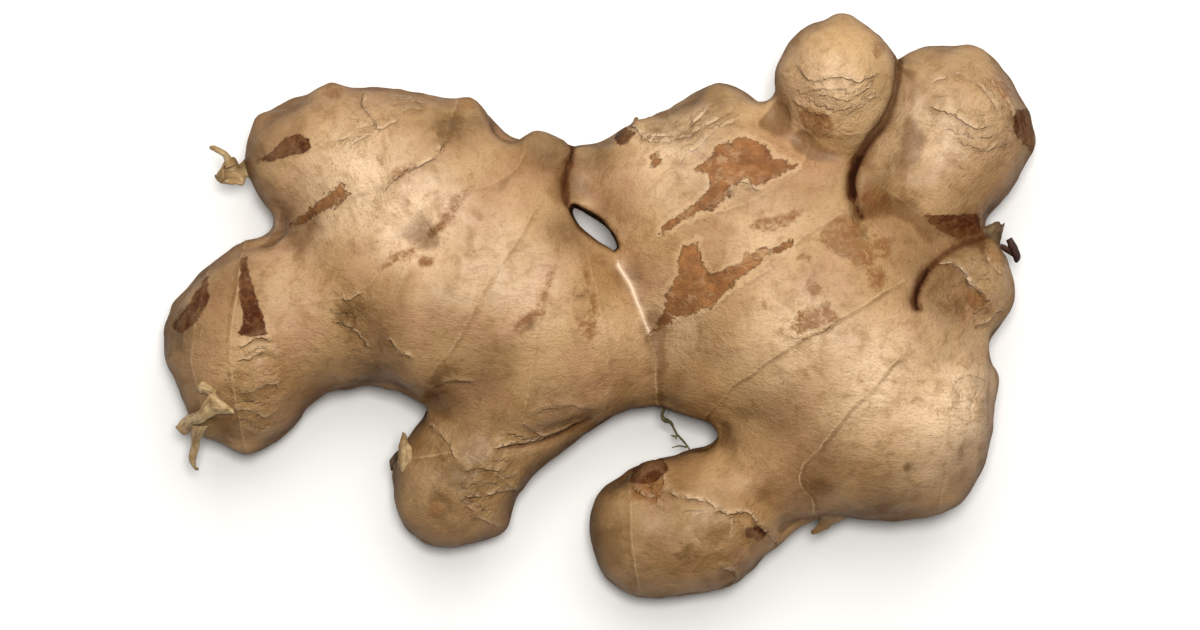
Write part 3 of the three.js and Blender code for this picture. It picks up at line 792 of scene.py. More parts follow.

# Soft blotches of colour. The pale ones are painted highlights on the broad tops of the swellings, the
# shade ones are painted shade where the skin turns away or lies low and beside crevices and the gap, and
# the olive and yellow ones are the skin's own tone.
tints = {   # x, y, width, strength
    "paintedHighlightTint": {
        "lobe": (-42, 22, 10, 0.95), "lobeLow": (-32, 15, 9, 1.0), "lobeFoot": (-55, 15, 5, 0.5),
        "leftBody": (-20, 9, 9, 0.45), "leftBodyMiddle": (-13, 3, 8, 0.4), "slitSide": (2, -3, 5, 0.35),
        "rightBody": (33, -6, 10, 0.6), "endBlock": (48, -12, 11, 0.8),
        "endBlockRight": (61, -18, 10, 1.0), "endBlockLow": (57, -27, 7, 0.45),
        "roundKnob": (39, 40, 8, 0.6), "roundKnobLeft": (31, 40, 5, 0.5),
        "rightKnobRight": (65, 31, 6, 0.5), "rightKnob": (58, 31, 9, 0.6), "shoulder": (12, 28, 8, 0.6),
        "shoulderRight": (22, 23, 6, 0.5), "middleRight": (29, 14, 6, 0.4), "join": (12, -3, 7, 0.5),
        "aboveTriangle": (26, 14, 6, 0.3), "farLeft": (-54, 6, 7, 0.4),
    },
    "shadeTint": {
        "leftNub": (-8, 28, 5, 0.7), "rightNub": (-1, 26, 4, 0.6), "bottomFingerLow": (8, -46, 8, 0.5),
        "bay": (-8, -18, 7, 0.5), "bottomFingerKnuckle": (22, -45, 6, 0.45),
        "farLeftShoulder": (-65.5, 6, 6, 0.6), "farLeftTip": (-73, -4, 5, 0.6),
        "lobeTopLeft": (-57, 32, 6, 0.6), "lobeTip": (-61, 22, 4, 0.4), "lobeCorner": (-26, 33, 6, 0.45),
        "nubSide": (-5, 21, 3.4, 0.8), "gapSide": (-5.5, 14, 4.5, 0.8), "gapRight": (2, 17, 3.5, 0.4),
        "neck": (-38, -4, 7, 0.6), "neckLow": (-41, -11, 8, 0.7), "body": (-27, -3, 6, 0.35),
        "bodyLow": (-21, -12, 6, 0.5), "lowerFingerRoot": (-27, -19, 8, 0.5),
        "lowerFinger": (-25, -28, 11, 0.65), "lowerFingerTip": (-24, -38, 9, 0.5),
        "bottomFingerTip": (4, -29, 6, 0.7), "bottomFingerEnd": (2, -38, 9, 0.55),
        "bottomFinger": (16, -38, 10, 0.3), "bayEdge": (13, -13, 6, 0.4),
        "fourthFoot": (38, -29, 6, 0.8), "endLow": (64, -29, 6, 0.5), "thirdFoot": (30, -20, 6, 0.4),
        "endUnder": (48, -37, 9, 0.8), "sideBud": (61, 6, 8, 0.75), "sideBudTop": (65, 14, 6, 0.8),
        "rightKnobEdge": (74, 28, 7, 0.7), "knobFoot": (47, 22, 6, 0.65),
    },
    "oliveTint": {
        "nubTop": (-7.5, 29, 4.5, 0.75), "rightNubTop": (-1, 27.5, 3.5, 0.5),
        "shoulderTop": (20, 37.5, 4.5, 0.6), "shoulderEdge": (12, 33.5, 5, 0.5),
        "rightKnobLeft": (55, 38, 6, 0.35), "rightKnobTop": (59, 44.5, 4, 0.4),
        "lowerFinger": (-25, -30, 10, 0.3), "farLeftTip": (-71, -4, 8, 0.3),
        "farLeftUnder": (-62, -20, 8, 0.3), "bottomFinger": (8, -38, 13, 0.3),
        "lobeCorner": (-23, 33, 5, 0.3),
    },
    "yellowTint": {
        "roundKnobTop": (42, 46, 7, 0.6), "roundKnobUnder": (38, 30, 6, 0.3),
        "bodyRight": (26, -15, 9, 0.3), "join": (3, 2, 5, 0.25),
    },
}

wrinkledAreas = {   # x, y, width, strength
    "farLeftFolds": (-59, -13, 7, 1.0),
    "farLeftTip": (-70, -3, 5, 0.5),
    "lobeTop": (-37, 32, 8, 0.7),
    "neck": (-43, -1, 5, 0.8),
    "lobeCorner": (-24, 32, 4, 0.6),
    "nubs": (-5, 27, 5, 0.7),
    "shoulderScar": (13, 31, 8, 0.9),
    "roundKnob": (41, 38, 8, 0.9),
    "rightKnob": (64, 33, 9, 0.9),
    "sideBud": (64, 4, 6, 0.9),
    "flaky": (37, -2, 5, 0.8),
    "lowerFinger": (-22, -29, 8, 0.8),
    "bodyFoot": (-7, -17, 6, 0.5),
    "bottomFinger": (20, -42, 8, 0.5),
    "bottomFingerTop": (9, -29, 4, 0.8),
    "endBlock": (64, -16, 4, 0.7),
    "peelFlake": (25, 20.5, 3, 1.0),
}

# Which way the fine grain runs: x, y and degrees from +X. It is drawn in three ways, and
# each point shows the ways that agree with the flow there.
grainFlow = [
    (-66, -5, 0), (-50, -5, 8), (-50, 25, -60), (-36, 27, -65), (-28, 12, -40), (-20, -5, -10),
    (-5, 0, -8), (-8, 22, 80), (5, 20, 60), (-25, -30, 50), (-15, -18, 40), (15, 5, -10), (20, 25, -20),
    (35, 5, -12), (30, -12, -8), (50, -15, -10), (55, -28, -4), (42, 40, 80), (43, 25, 80), (60, 34, 60),
    (55, 18, 60), (63, 2, 70), (12, -38, 15), (28, -32, 35),
]
grainWays = (-8, 52, -68)


# Evens out values over a mesh, each point taking the mean of its neighbours.
def spreadOut(obj, values, passes):
    ends = np.empty(len(obj.data.edges) * 2, np.int32)
    obj.data.edges.foreach_get("vertices", ends)
    a, b = ends.reshape(-1, 2).T
    count = np.bincount(a, minlength=len(values)) + np.bincount(b, minlength=len(values))
    flat = values.reshape(len(values), -1).copy()
    for _ in range(passes):
        for column in flat.T:
            total = np.bincount(a, column[b], len(column)) + np.bincount(b, column[a], len(column))
            column[:] = total / count
    return flat.reshape(values.shape)


markReach = 3.0    # marks are drawn this far from their line or outline
outOfReach = 9.0


# How far each point is from the nearest line of a kind, and how clear that line is.
class NearestLine:
    def __init__(self, count):
        self.distance = np.full(count, outOfReach)
        self.offset = np.full(count, outOfReach)
        self.clear = np.zeros(count)

    def take(self, distance, offset, clear):
        closer = distance < self.distance
        self.distance[closer] = distance[closer]
        self.offset[closer] = offset[closer]
        self.clear[closer] = clear[closer]

    def marks(self, fadeFrom):
        faded = self.clear * smoothStep(markReach, fadeFrom, self.distance)
        return np.clip(self.offset, -markReach, markReach), faded


ringForm = {
    "height": 0.05,
    "ridgeWidth": 0.45,
    "grooveAt": 0.8,       # beside the ridge
    "grooveWidth": 0.5,
    "step": 0.12,          # the skin is higher on one side of a ring
    "stepWidth": (-0.6, 0.3),
    "stepReach": (7, 2),
    "endFade": 1.5,
    "markFade": 1.8,
}


def addRings(places, plan):
    form = ringForm
    relief = np.zeros(len(places))
    nearest = NearestLine(len(places))
    for ring in rings.values():
        line = [point[:2] for point in curveThrough(ring["line"])]
        distance, side, past = distanceToLine(plan, line)
        share = ring["strength"] * smoothStep(form["endFade"], 0.0, past)
        offset = distance * side
        ridge = form["height"] * np.exp(-(offset / form["ridgeWidth"]) ** 2)
        ridge -= form["height"] * np.exp(-((offset + form["grooveAt"]) / form["grooveWidth"]) ** 2)
        step = form["step"] * (smoothStep(*form["stepWidth"], offset) - 0.5)
        relief += share * (ridge + step * smoothStep(*form["stepReach"], distance))
        nearest.take(distance, offset, share)
    return relief, *nearest.marks(form["markFade"])


creaseForm = {
    "share": 0.8,          # more or less than this along a crease
    "lip": 0.8,            # the lists' lips and depths are drawn at these shares
    "groove": 0.6,
    "lipAt": 1.4,          # times the crease's width
    "lipWidth": 1.2,
    "clearness": 1.8,      # of the drawn line, for each millimetre of depth
    "endFade": (1.6, -0.6),
    "markEndFade": (1.2, -0.6),
    "markFade": 2.0,
}


def addCreases(places, upper, variation):
    form = creaseForm
    relief = np.zeros(len(places))
    nearest = NearestLine(len(places))
    for crease in creases.values():
        line = [upper.at(point) for point in curveThrough(crease["line"])]
        distance, side, past = distanceToLine(places, line)
        share = smoothStep(*form["endFade"], past) * form["share"] * (1 + variation)
        offset = distance * side
        width = crease["width"]
        groove = np.exp(-(distance / width) ** 2)
        lip = np.exp(-((offset - form["lipAt"] * width) / (form["lipWidth"] * width)) ** 2)
        relief += share * (form["lip"] * crease["lip"] * lip - form["groove"] * crease["depth"] * groove)
        clear = crease["depth"] * form["clearness"] * smoothStep(*form["markEndFade"], past)
        nearest.take(distance, offset, clear)
    return relief, *nearest.marks(form["markFade"])


# Depth inside the patches, which stop where the skin turns down.
def patchDepth(plan, facingUp, outlines):
    turnDown = 12.0
    deepest = np.full(len(plan), -markReach)
    for outline in outlines.values():
        deepest = np.maximum(deepest, insideOutline(plan, outline))
    return np.clip(np.minimum(deepest, facingUp * turnDown), -markReach, markReach)


def blotches(plan, spots):
    strength = np.zeros(len(plan))
    for x, y, width, share in spots.values():
        away = np.hypot(plan[:, 0] - x, plan[:, 1] - y)
        strength = np.maximum(strength, share * np.exp(-(away / width) ** 2))
    return strength


# How wide the painted shade in the deepest crevices is, and the fainter painted shade around them.
creviceForm = {"width": 1.1, "around": 0.3, "aroundWidth": 2.6}


def creviceShade(places, upper):
    shade = np.zeros(len(places))
    for valley in valleys.values():
        if valley.get("dark"):
            line = [upper.at(point) for point in curveThrough(valley["line"])]
            distance, _, past = distanceToLine(places, line)
            deepest = np.exp(-(distance / (creviceForm["width"] * valley["width"])) ** 2)
            around = creviceForm["around"] * np.exp(-(distance / creviceForm["aroundWidth"]) ** 2)
            dark = valley["dark"] * np.maximum(deepest, around)
            shade = np.maximum(shade, dark * smoothStep(build["valleyFade"], 0, past))
    return shade


def grainShares(plan):
    east = np.zeros(len(plan))
    north = np.zeros(len(plan))
    reach = 5.0   # of each entry of the flow
    for x, y, degrees in grainFlow:
        away = (plan[:, 0] - x) ** 2 + (plan[:, 1] - y) ** 2
        weight = 1 / (1 + away / reach ** 2) ** 2
        east += weight * math.cos(math.radians(2 * degrees))
        north += weight * math.sin(math.radians(2 * degrees))
    length = np.hypot(east, north) + 1e-9
    shares = []
    for way in grainWays:
        turn = math.radians(2 * way)
        agreement = (east * math.cos(turn) + north * math.sin(turn)) / length
        shares.append(np.clip(agreement + 0.5, 0, None) ** 2)
    total = sum(shares)
    return [share / total for share in shares]


# Unevenness of the skin: size, amount and where its noise starts.
unevenness = {
    "swell": (12.0, 0.35, 5.5),
    "lump": (5.0, 0.2, 9.2),
    "outline": (6.0, 0.4, 12.3),       # on the flanks
    "outlineFine": (2.8, 0.25, 7.9),
    "crumple": (2.4, 0.25, 14.0),      # in the wrinkled areas
    "pimple": (2.2, 0.05, 4.4),
    "crease": (3.0, 1.0, 31.0),
}
ridges = {"size": 3.4, "height": 0.22, "start": 2.9}
wander = {"size": 6.0, "amount": 0.45, "starts": (3.1, 17.7)}     # of rings and patches
bend = {"size": 2.6, "amount": 0.5, "starts": (1.3, 8.8, 21.4)}   # of creases
peeledDepth = 0.07
facingPasses = 6      # that even out which way the skin faces
evenedPasses = 14     # that even out fine and broad hollows
broadPasses = 60
hollowGain = 2.5


def uneven(places, kind):
    size, amount, start = unevenness[kind]
    return amount * noiseAt(places, size, start)


def drift(places, kind):
    ways = [noiseAt(places, kind["size"], start) for start in kind["starts"]]
    return kind["amount"] * np.stack(ways, axis=1)


def skinUnevenness(places, facingUp, wrinkled):
    flank = smoothStep(0.8, 0.2, facingUp)
    relief = uneven(places, "swell") + uneven(places, "lump")
    relief += flank * (uneven(places, "outline") + uneven(places, "outlineFine"))
    ridged = 0.5 - np.abs(noiseAt(places, ridges["size"], ridges["start"])) * 2
    relief += wrinkled * (ridges["height"] * ridged + uneven(places, "crumple"))
    return relief + uneven(places, "pimple")


# How far each point lies below what is around it. The skin's colour turns this into painted shade in
# hollows and valleys and a painted highlight on crests.
def markHollows(piece, places):
    evened = spreadOut(piece, places, evenedPasses)
    broad = spreadOut(piece, evened, broadPasses)
    normals = readNormals(piece)
    writeAttribute(piece, "hollow", np.einsum('ij,ij->i', evened - places, normals) * hollowGain)
    writeAttribute(piece, "valley", np.einsum('ij,ij->i', broad - places, normals))


def markSlit(piece, plan, facingUp):
    line = [point[:2] for point in curveThrough(valleys["slit"]["line"])]
    distance, side, past = distanceToLine(plan, line)
    writeAttribute(piece, "slitOffset", np.clip(distance * side, -markReach, markReach))
    writeAttribute(piece, "slitClear", smoothStep(0.9, -0.1, past) * (facingUp > 0))


def reliefAndMarks(piece):
    upper = UpperSide(piece)
    places = readPlaces(piece)
    normals = readNormals(piece)
    facingUp = spreadOut(piece, normals[:, 2], facingPasses)
    plan = planOf(places) + drift(places, wander)
    ringRelief, ringOffset, ringClear = addRings(places, plan)
    bent = places + drift(places, bend)
    creaseRelief, creaseOffset, creaseClear = addCreases(bent, upper, uneven(places, "crease"))
    patches = {"redPatch": redPatches, "brownPatch": brownPatches, "tanPatch": tanPatches}
    marks = {name: patchDepth(plan, facingUp, outlines) for name, outlines in patches.items()}
    marks["wrinkled"] = blotches(plan, wrinkledAreas)
    relief = ringRelief + creaseRelief - peeledDepth * smoothStep(-0.6, 0.6, marks["redPatch"])
    relief += skinUnevenness(places, facingUp, marks["wrinkled"])
    places = places + normals * relief[:, None]
    places[:, 2] = np.maximum(places[:, 2], 0)   # it rests on the floor
    writePlaces(piece, places)
    markHollows(piece, places)
    markSlit(piece, plan, facingUp)
    marks["ringOffset"] = ringOffset
    marks["ringClear"] = ringClear
    marks["creaseOffset"] = creaseOffset
    marks["creaseClear"] = creaseClear
    # Soft darker blotches on the upper side: partly staining, partly painted shade.
    marks["stainAndShade"] = blotches(plan, stainsAndShade) * smoothStep(-0.3, 0.1, facingUp)
    for tint, spots in tints.items():
        marks[tint] = blotches(plan, spots)
    # Painted shade: darker as the skin turns from facing up to facing sideways and down.
    marks["flank"] = smoothStep(0.8, 0.0, facingUp)
    # Painted shade in and around the deepest crevices.
    marks["crevice"] = creviceShade(places, upper)
    for number, share in enumerate(grainShares(plan)):
        marks[f"grain{number}"] = share
    for name, values in marks.items():
        writeAttribute(piece, name, values)


print("stage 3: rings, creases and marks")
reliefAndMarks(rhizome)


skinFinish = {
    "light": rgb(184, 151, 110),
    "middle": rgb(158, 123, 83),
    "dark": rgb(122, 89, 52),
    "rosy": rgb(176, 136, 106),
    "olive": rgb(104, 84, 50),
    "yellow": rgb(182, 143, 84),
    "peeled": rgb(135, 92, 57),
    "peeledOrange": rgb(160, 111, 68),
    "peeledDark": rgb(104, 66, 40),
    "tan": rgb(138, 100, 56),
    # dead scales' own brown, also used as painted shade around crevices
    "deadScaleAndCreviceShade": rgb(76, 38, 18),
    # the soft blotches: partly staining, partly painted shade
    "stainAndShade": rgb(102, 74, 38),
    # painted shade at the bottom of the deepest crevices
    "crevice": rgb(48, 22, 10),
    # painted highlight on the broad tops and on lifted lips, and the pale edges of the slit
    "pale": rgb(236, 206, 172),
    # painted shade where the skin turns away or lies low, and beside crevices
    "shade": rgb(98, 70, 38),
    # painted shade on the sides, where the skin turns away from facing up
    "flank": rgb(92, 60, 26),
    # painted shade beside rings and folds, and in cracks, hollows and valleys
    "paleEdgeAndHighlight": rgb(206, 174, 134),
    # pale ring lines and lifted patch edges, partly the skin's own pale and partly painted highlight, and
    # a painted highlight on crests
    "paintedShadeBrown": rgb(100, 68, 36),
    "flesh": rgb(238, 216, 190),
    "roughness": 0.42,
    "bump": 0.0002,         # metres
    "shine": 0.1,
    "sheen": 0.42,          # of the waxy coat, where the skin faces up
    "sheenRoughness": 0.42,
}

# How much of each mark's colour is mixed over what lies under it.
# Of these, the ring shade, under, crack, hollow, valley, crevice, deep crevice and flank shares are
# painted shade; the flap and crests shares are painted highlight; the ring ridge share is partly painted
# highlight; the blotch share is partly staining and partly painted shade.
markShares = {
    "rosy": 0.6, "mottle": 0.35, "coarse": 0.25, "fleck": 0.5, "speckle": 0.3, "grain": 0.2,
    "ringShade": 0.38, "ringRidge": 0.6, "flap": 0.5, "under": 0.3, "crack": 0.32, "stainAndShade": 0.72,
    "peeled": 0.9, "peeledDark": 0.4, "tan": 0.92, "deadOrange": 0.22, "hollow": 0.6, "valley": 0.5,
    "crevice": 0.6, "deepCrevice": 0.95, "crestHighlight": 0.15, "flank": 0.75, "slitSides": 0.4, "slit": 0.62,
}
# How much each texture and mark lifts the skin, times skinFinish's bump.
lifts = {
    "grain": 0.7, "coarse": 1.0, "speckle": 0.5, "mottle": 1.0, "fleck": 0.4, "ring": 0.5,
    "peeled": -0.8, "dead": -0.4, "crack": -0.7, "flap": 2.2,
}


# The grain is drawn along each of its ways and shown where the flow goes that way.
def skinTextures(paint):
    grain = 0.0
    coarse = 0.0
    for number, way in enumerate(grainWays):
        share = paint.attribute(f"grain{number}")
        fine = paint.noise(0.5, 4, 0.6, 0.8, way, (2.6, 1, 1.2), 0.011 * number)
        wide = paint.noise(1.5, 4, 0.6, 0.8, way, (2.6, 1, 1.2), 0.017 * number)
        grain = fine * share + grain
        coarse = wide * share + coarse
    return {
        "grain": grain,
        "coarse": coarse,
        "mottle": paint.noise(3.2, 5, 0.6, 0.4),
        "fleck": paint.noise(0.9, 4, 0.65, 0.3),
        "speckle": paint.noise(0.34, 3, 0.6, 0.4, stretch=(1.5, 1, 1)),
    }


def groundColour(paint, textures):
    look, share = skinFinish, markShares
    mottle = textures["mottle"]
    cloud = paint.noise(14, 3, 0.5)
    colour = paint.mix(paint.between(cloud, 0.35, 0.65), look["middle"], look["light"])
    rosy = paint.between(paint.noise(9, 2, 0.5, seed=0.3), 0.45, 0.7)
    colour = paint.mix(rosy * share["rosy"], colour, look["rosy"])
    colour = paint.mix(paint.attribute("yellowTint"), colour, look["yellow"])
    # Painted highlight on the broad tops of the swellings.
    pale = paint.attribute("paintedHighlightTint") * paint.between(mottle, 0.7, 0.3, 0.6, 1.0)
    colour = paint.mix(pale, colour, look["pale"])
    # Painted shade where the skin turns away or lies low, and beside crevices.
    shade = paint.attribute("shadeTint") * paint.between(mottle, 0.3, 0.7, 0.7, 1.0)
    colour = paint.mix(shade, colour, look["shade"])
    olive = paint.attribute("oliveTint") * paint.between(mottle, 0.2, 0.6, 0.6, 1.1)
    colour = paint.mix(olive, colour, look["olive"])
    for name, low, high in (("mottle", 0.5, 0.72), ("coarse", 0.5, 0.68), ("fleck", 0.6, 0.72),
                            ("speckle", 0.5, 0.7)):
        dark = paint.between(textures[name], low, high)
        colour = paint.mix(dark * share[name], colour, look["dark"])
    return paint.mix(paint.between(textures["grain"], 0.5, 0.36) * share["grain"], colour, look["light"])


# A ring is a pale raised line, partly the skin's own pale and partly painted highlight, with painted
# shadow along one side.
def ringMarks(paint, colour):
    look, share = skinFinish, markShares
    offset = paint.attribute("ringOffset") + (paint.noise(1.6, 4, 0.6, seed=0.2) - 0.5) * 0.9
    broken = paint.between(paint.noise(4, 4, 0.6, seed=0.8), 0.36, 0.58, 0.25, 1.0)
    clear = paint.attribute("ringClear") * broken
    ridge = paint.between(paint.maths('ABSOLUTE', offset - 0.1), 0.25, 0.04)
    shade = paint.between(paint.maths('ABSOLUTE', offset + 0.4), 0.4, 0.1)
    colour = paint.mix(shade * clear * share["ringShade"], colour, look["paintedShadeBrown"])
    colour = paint.mix(ridge * clear * share["ringRidge"], colour, look["paleEdgeAndHighlight"])
    return colour, ridge * clear * lifts["ring"]


# A crease has painted shade in its crack, a painted highlight on its lifted lip and painted shadow on the
# other side.
def creaseMarks(paint, colour):
    look, share = skinFinish, markShares
    offset = paint.attribute("creaseOffset") + (paint.noise(1.1, 4, 0.62, seed=0.5) - 0.5) * 0.8
    broken = paint.between(paint.noise(1.8, 4, 0.6, seed=1.3), 0.4, 0.56, 0.12, 1.0)
    clear = paint.attribute("creaseClear") * broken
    crack = paint.between(paint.maths('ABSOLUTE', offset), 0.2, 0.02) * clear
    flap = paint.between(offset, 0.0, 0.2) * paint.between(offset, 1.3, 0.3) * clear
    under = paint.between(offset, 0.1, -0.1) * paint.between(offset, -1.2, -0.2) * clear
    colour = paint.mix(flap * share["flap"], colour, look["pale"])
    colour = paint.mix(under * share["under"], colour, look["paintedShadeBrown"])
    colour = paint.mix(crack * share["crack"], colour, look["paintedShadeBrown"])
    return colour, crack * lifts["crack"] + flap * lifts["flap"]


# Soft darker blotches: partly staining of the skin, partly painted shade.
def stainAndShadeMarks(paint, colour):
    stainAndShade = paint.attribute("stainAndShade") + (paint.noise(2.4, 6, 0.66, 0.5, seed=1.1) - 0.5) * 1.3
    stainAndShade = paint.between(stainAndShade, 0.2, 0.65)
    return paint.mix(stainAndShade * markShares["stainAndShade"], colour, skinFinish["stainAndShade"])


# Peeled, bruised and dead patches share one ragged edge.
def patchMarks(paint, colour, textures):
    look, share = skinFinish, markShares
    mottle = textures["mottle"]
    tongues = paint.noise(1.1, 6, 0.7, 0.4, 35, (2.6, 1, 1), 0.9)
    ragged = (paint.noise(2.6, 8, 0.68, 0.5, seed=0.4) - 0.5) * 3.6 + (tongues - 0.5) * 2.4
    patchy = paint.between(paint.noise(2.2, 6, 0.65, 0.6, seed=0.6), 0.36, 0.5, 0.55, 1.0)

    red = paint.attribute("redPatch") + ragged
    redness = paint.between(red, -0.1, 0.25) * patchy
    orange = paint.between(paint.noise(3, 4, 0.6, seed=0.6), 0.4, 0.6)
    peeled = paint.mix(orange, look["peeled"], look["peeledOrange"])
    for dark in (paint.between(textures["grain"], 0.52, 0.36), paint.between(mottle, 0.45, 0.65)):
        peeled = paint.mix(dark * share["peeledDark"], peeled, look["peeledDark"])
    # A pale rim along each peeled edge: the lifted flaking skin, partly painted highlight.
    rim = paint.between(paint.maths('ABSOLUTE', red + 0.5), 0.5, 0.1)
    rim = rim * paint.between(patchy, 0.6, 1.0, 0.05, 0.4)
    colour = paint.mix(rim, colour, look["paleEdgeAndHighlight"])
    colour = paint.mix(redness * share["peeled"], colour, peeled)

    worn = paint.between(paint.noise(1.1, 6, 0.7, 0.5, seed=1.9), 0.36, 0.56, 0.25, 1.0)
    tanness = paint.between(paint.attribute("tanPatch") + ragged * 0.9, -0.4, 0.5) * worn
    bruise = paint.mix(paint.between(mottle, 0.4, 0.6), look["tan"], look["peeled"])
    colour = paint.mix(tanness * share["tan"], colour, bruise)

    brown = paint.attribute("brownPatch") + ragged * 0.5
    brownness = paint.between(brown, -0.1, 0.25) * paint.between(patchy, 0.5, 1.0, 0.75, 1.0)
    deadOrange = paint.between(paint.noise(1.3, 5, 0.65, 0.6, seed=1.7), 0.45, 0.62)
    dead = paint.mix(deadOrange * share["deadOrange"], look["deadScaleAndCreviceShade"], look["peeledOrange"])
    colour = paint.mix(brownness * paint.between(mottle, 0.3, 0.6, 1.0, 0.92), colour, dead)
    return colour, redness, brownness


# Painted shade in hollows, valleys and crevices and on the sides, and a painted highlight on crests.
def paintedShadeAndHighlight(paint, colour, crevice, flank):
    look, share = skinFinish, markShares
    hollow = paint.attribute("hollow")
    valley = paint.attribute("valley")
    colour = paint.mix(paint.between(hollow, 0.12, 0.6) * share["hollow"], colour, look["paintedShadeBrown"])
    colour = paint.mix(paint.between(valley, 0.6, 2.4) * share["valley"], colour, look["paintedShadeBrown"])
    colour = paint.mix(paint.between(crevice, 0.02, 0.4) * share["crevice"], colour, look["deadScaleAndCreviceShade"])
    colour = paint.mix(paint.between(crevice, 0.4, 0.85) * share["deepCrevice"], colour, look["crevice"])
    colour = paint.mix(paint.between(hollow, -0.1, -0.6) * share["crestHighlight"], colour, look["paleEdgeAndHighlight"])
    # painted shade on the sides
    return paint.mix(flank * share["flank"], colour, look["flank"])


def slitMarks(paint, colour):
    look, share = skinFinish, markShares
    offset = paint.attribute("slitOffset") + (paint.noise(3, 3, 0.5, seed=0.9) - 0.5) * 0.25
    away = paint.maths('ABSOLUTE', offset)
    clear = paint.attribute("slitClear")
    colour = paint.mix(paint.between(away, 0.8, 0.1) * clear * share["slitSides"], colour, look["pale"])
    return paint.mix(paint.between(away, 0.3, 0.06) * clear * share["slit"], colour, look["flesh"])


def skinPaint():
    paint = Paint("gingerSkin")
    look = skinFinish
    textures = skinTextures(paint)
    crevice = paint.attribute("crevice")
    flank = paint.attribute("flank")
    colour = groundColour(paint, textures)
    colour, ringLift = ringMarks(paint, colour)
    colour, creaseLift = creaseMarks(paint, colour)
    colour = stainAndShadeMarks(paint, colour)
    colour, redness, brownness = patchMarks(paint, colour, textures)
    colour = paintedShadeAndHighlight(paint, colour, crevice, flank)
    colour = slitMarks(paint, colour)

    crinkle = paint.maths('ABSOLUTE', paint.noise(2.2, 4, 0.6, 0.7, seed=0.7) - 0.5)
    height = crinkle * (paint.attribute("wrinkled") * -4.5 - 1.2) + ringLift + creaseLift
    for name, texture in textures.items():
        height = height + texture * lifts[name]
    height = height + redness * lifts["peeled"] + brownness * lifts["dead"]

    mottle = textures["mottle"]
    roughness = paint.between(mottle, 0.3, 0.7, look["roughness"] - 0.06, look["roughness"] + 0.08)
    roughness = roughness + redness * 0.1 + flank * 0.2 + brownness * 0.2
    roughness = roughness + paint.between(crevice, 0.1, 0.6) * 0.4
    coat = (1 - flank) * paint.between(mottle, 0.3, 0.7, look["sheen"], look["sheen"] * 0.5)
    coat = coat * (1 - redness) * (1 - brownness) * (1 - paint.between(crevice, 0.02, 0.3))
    paint.feed(paint.shader.inputs["Coat Weight"], coat)
    paint.shader.inputs["Coat Roughness"].default_value = look["sheenRoughness"]
    paint.shader.inputs["Specular IOR Level"].default_value = look["shine"]
    return paint.finish(colour, roughness, height, look["bump"])


print("stage 4: the skin's finish")
rhizome.data.materials.append(skinPaint())
makeActive(rhizome)
bpy.ops.object.shade_smooth()
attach(rhizome, "root")
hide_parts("rhizome")

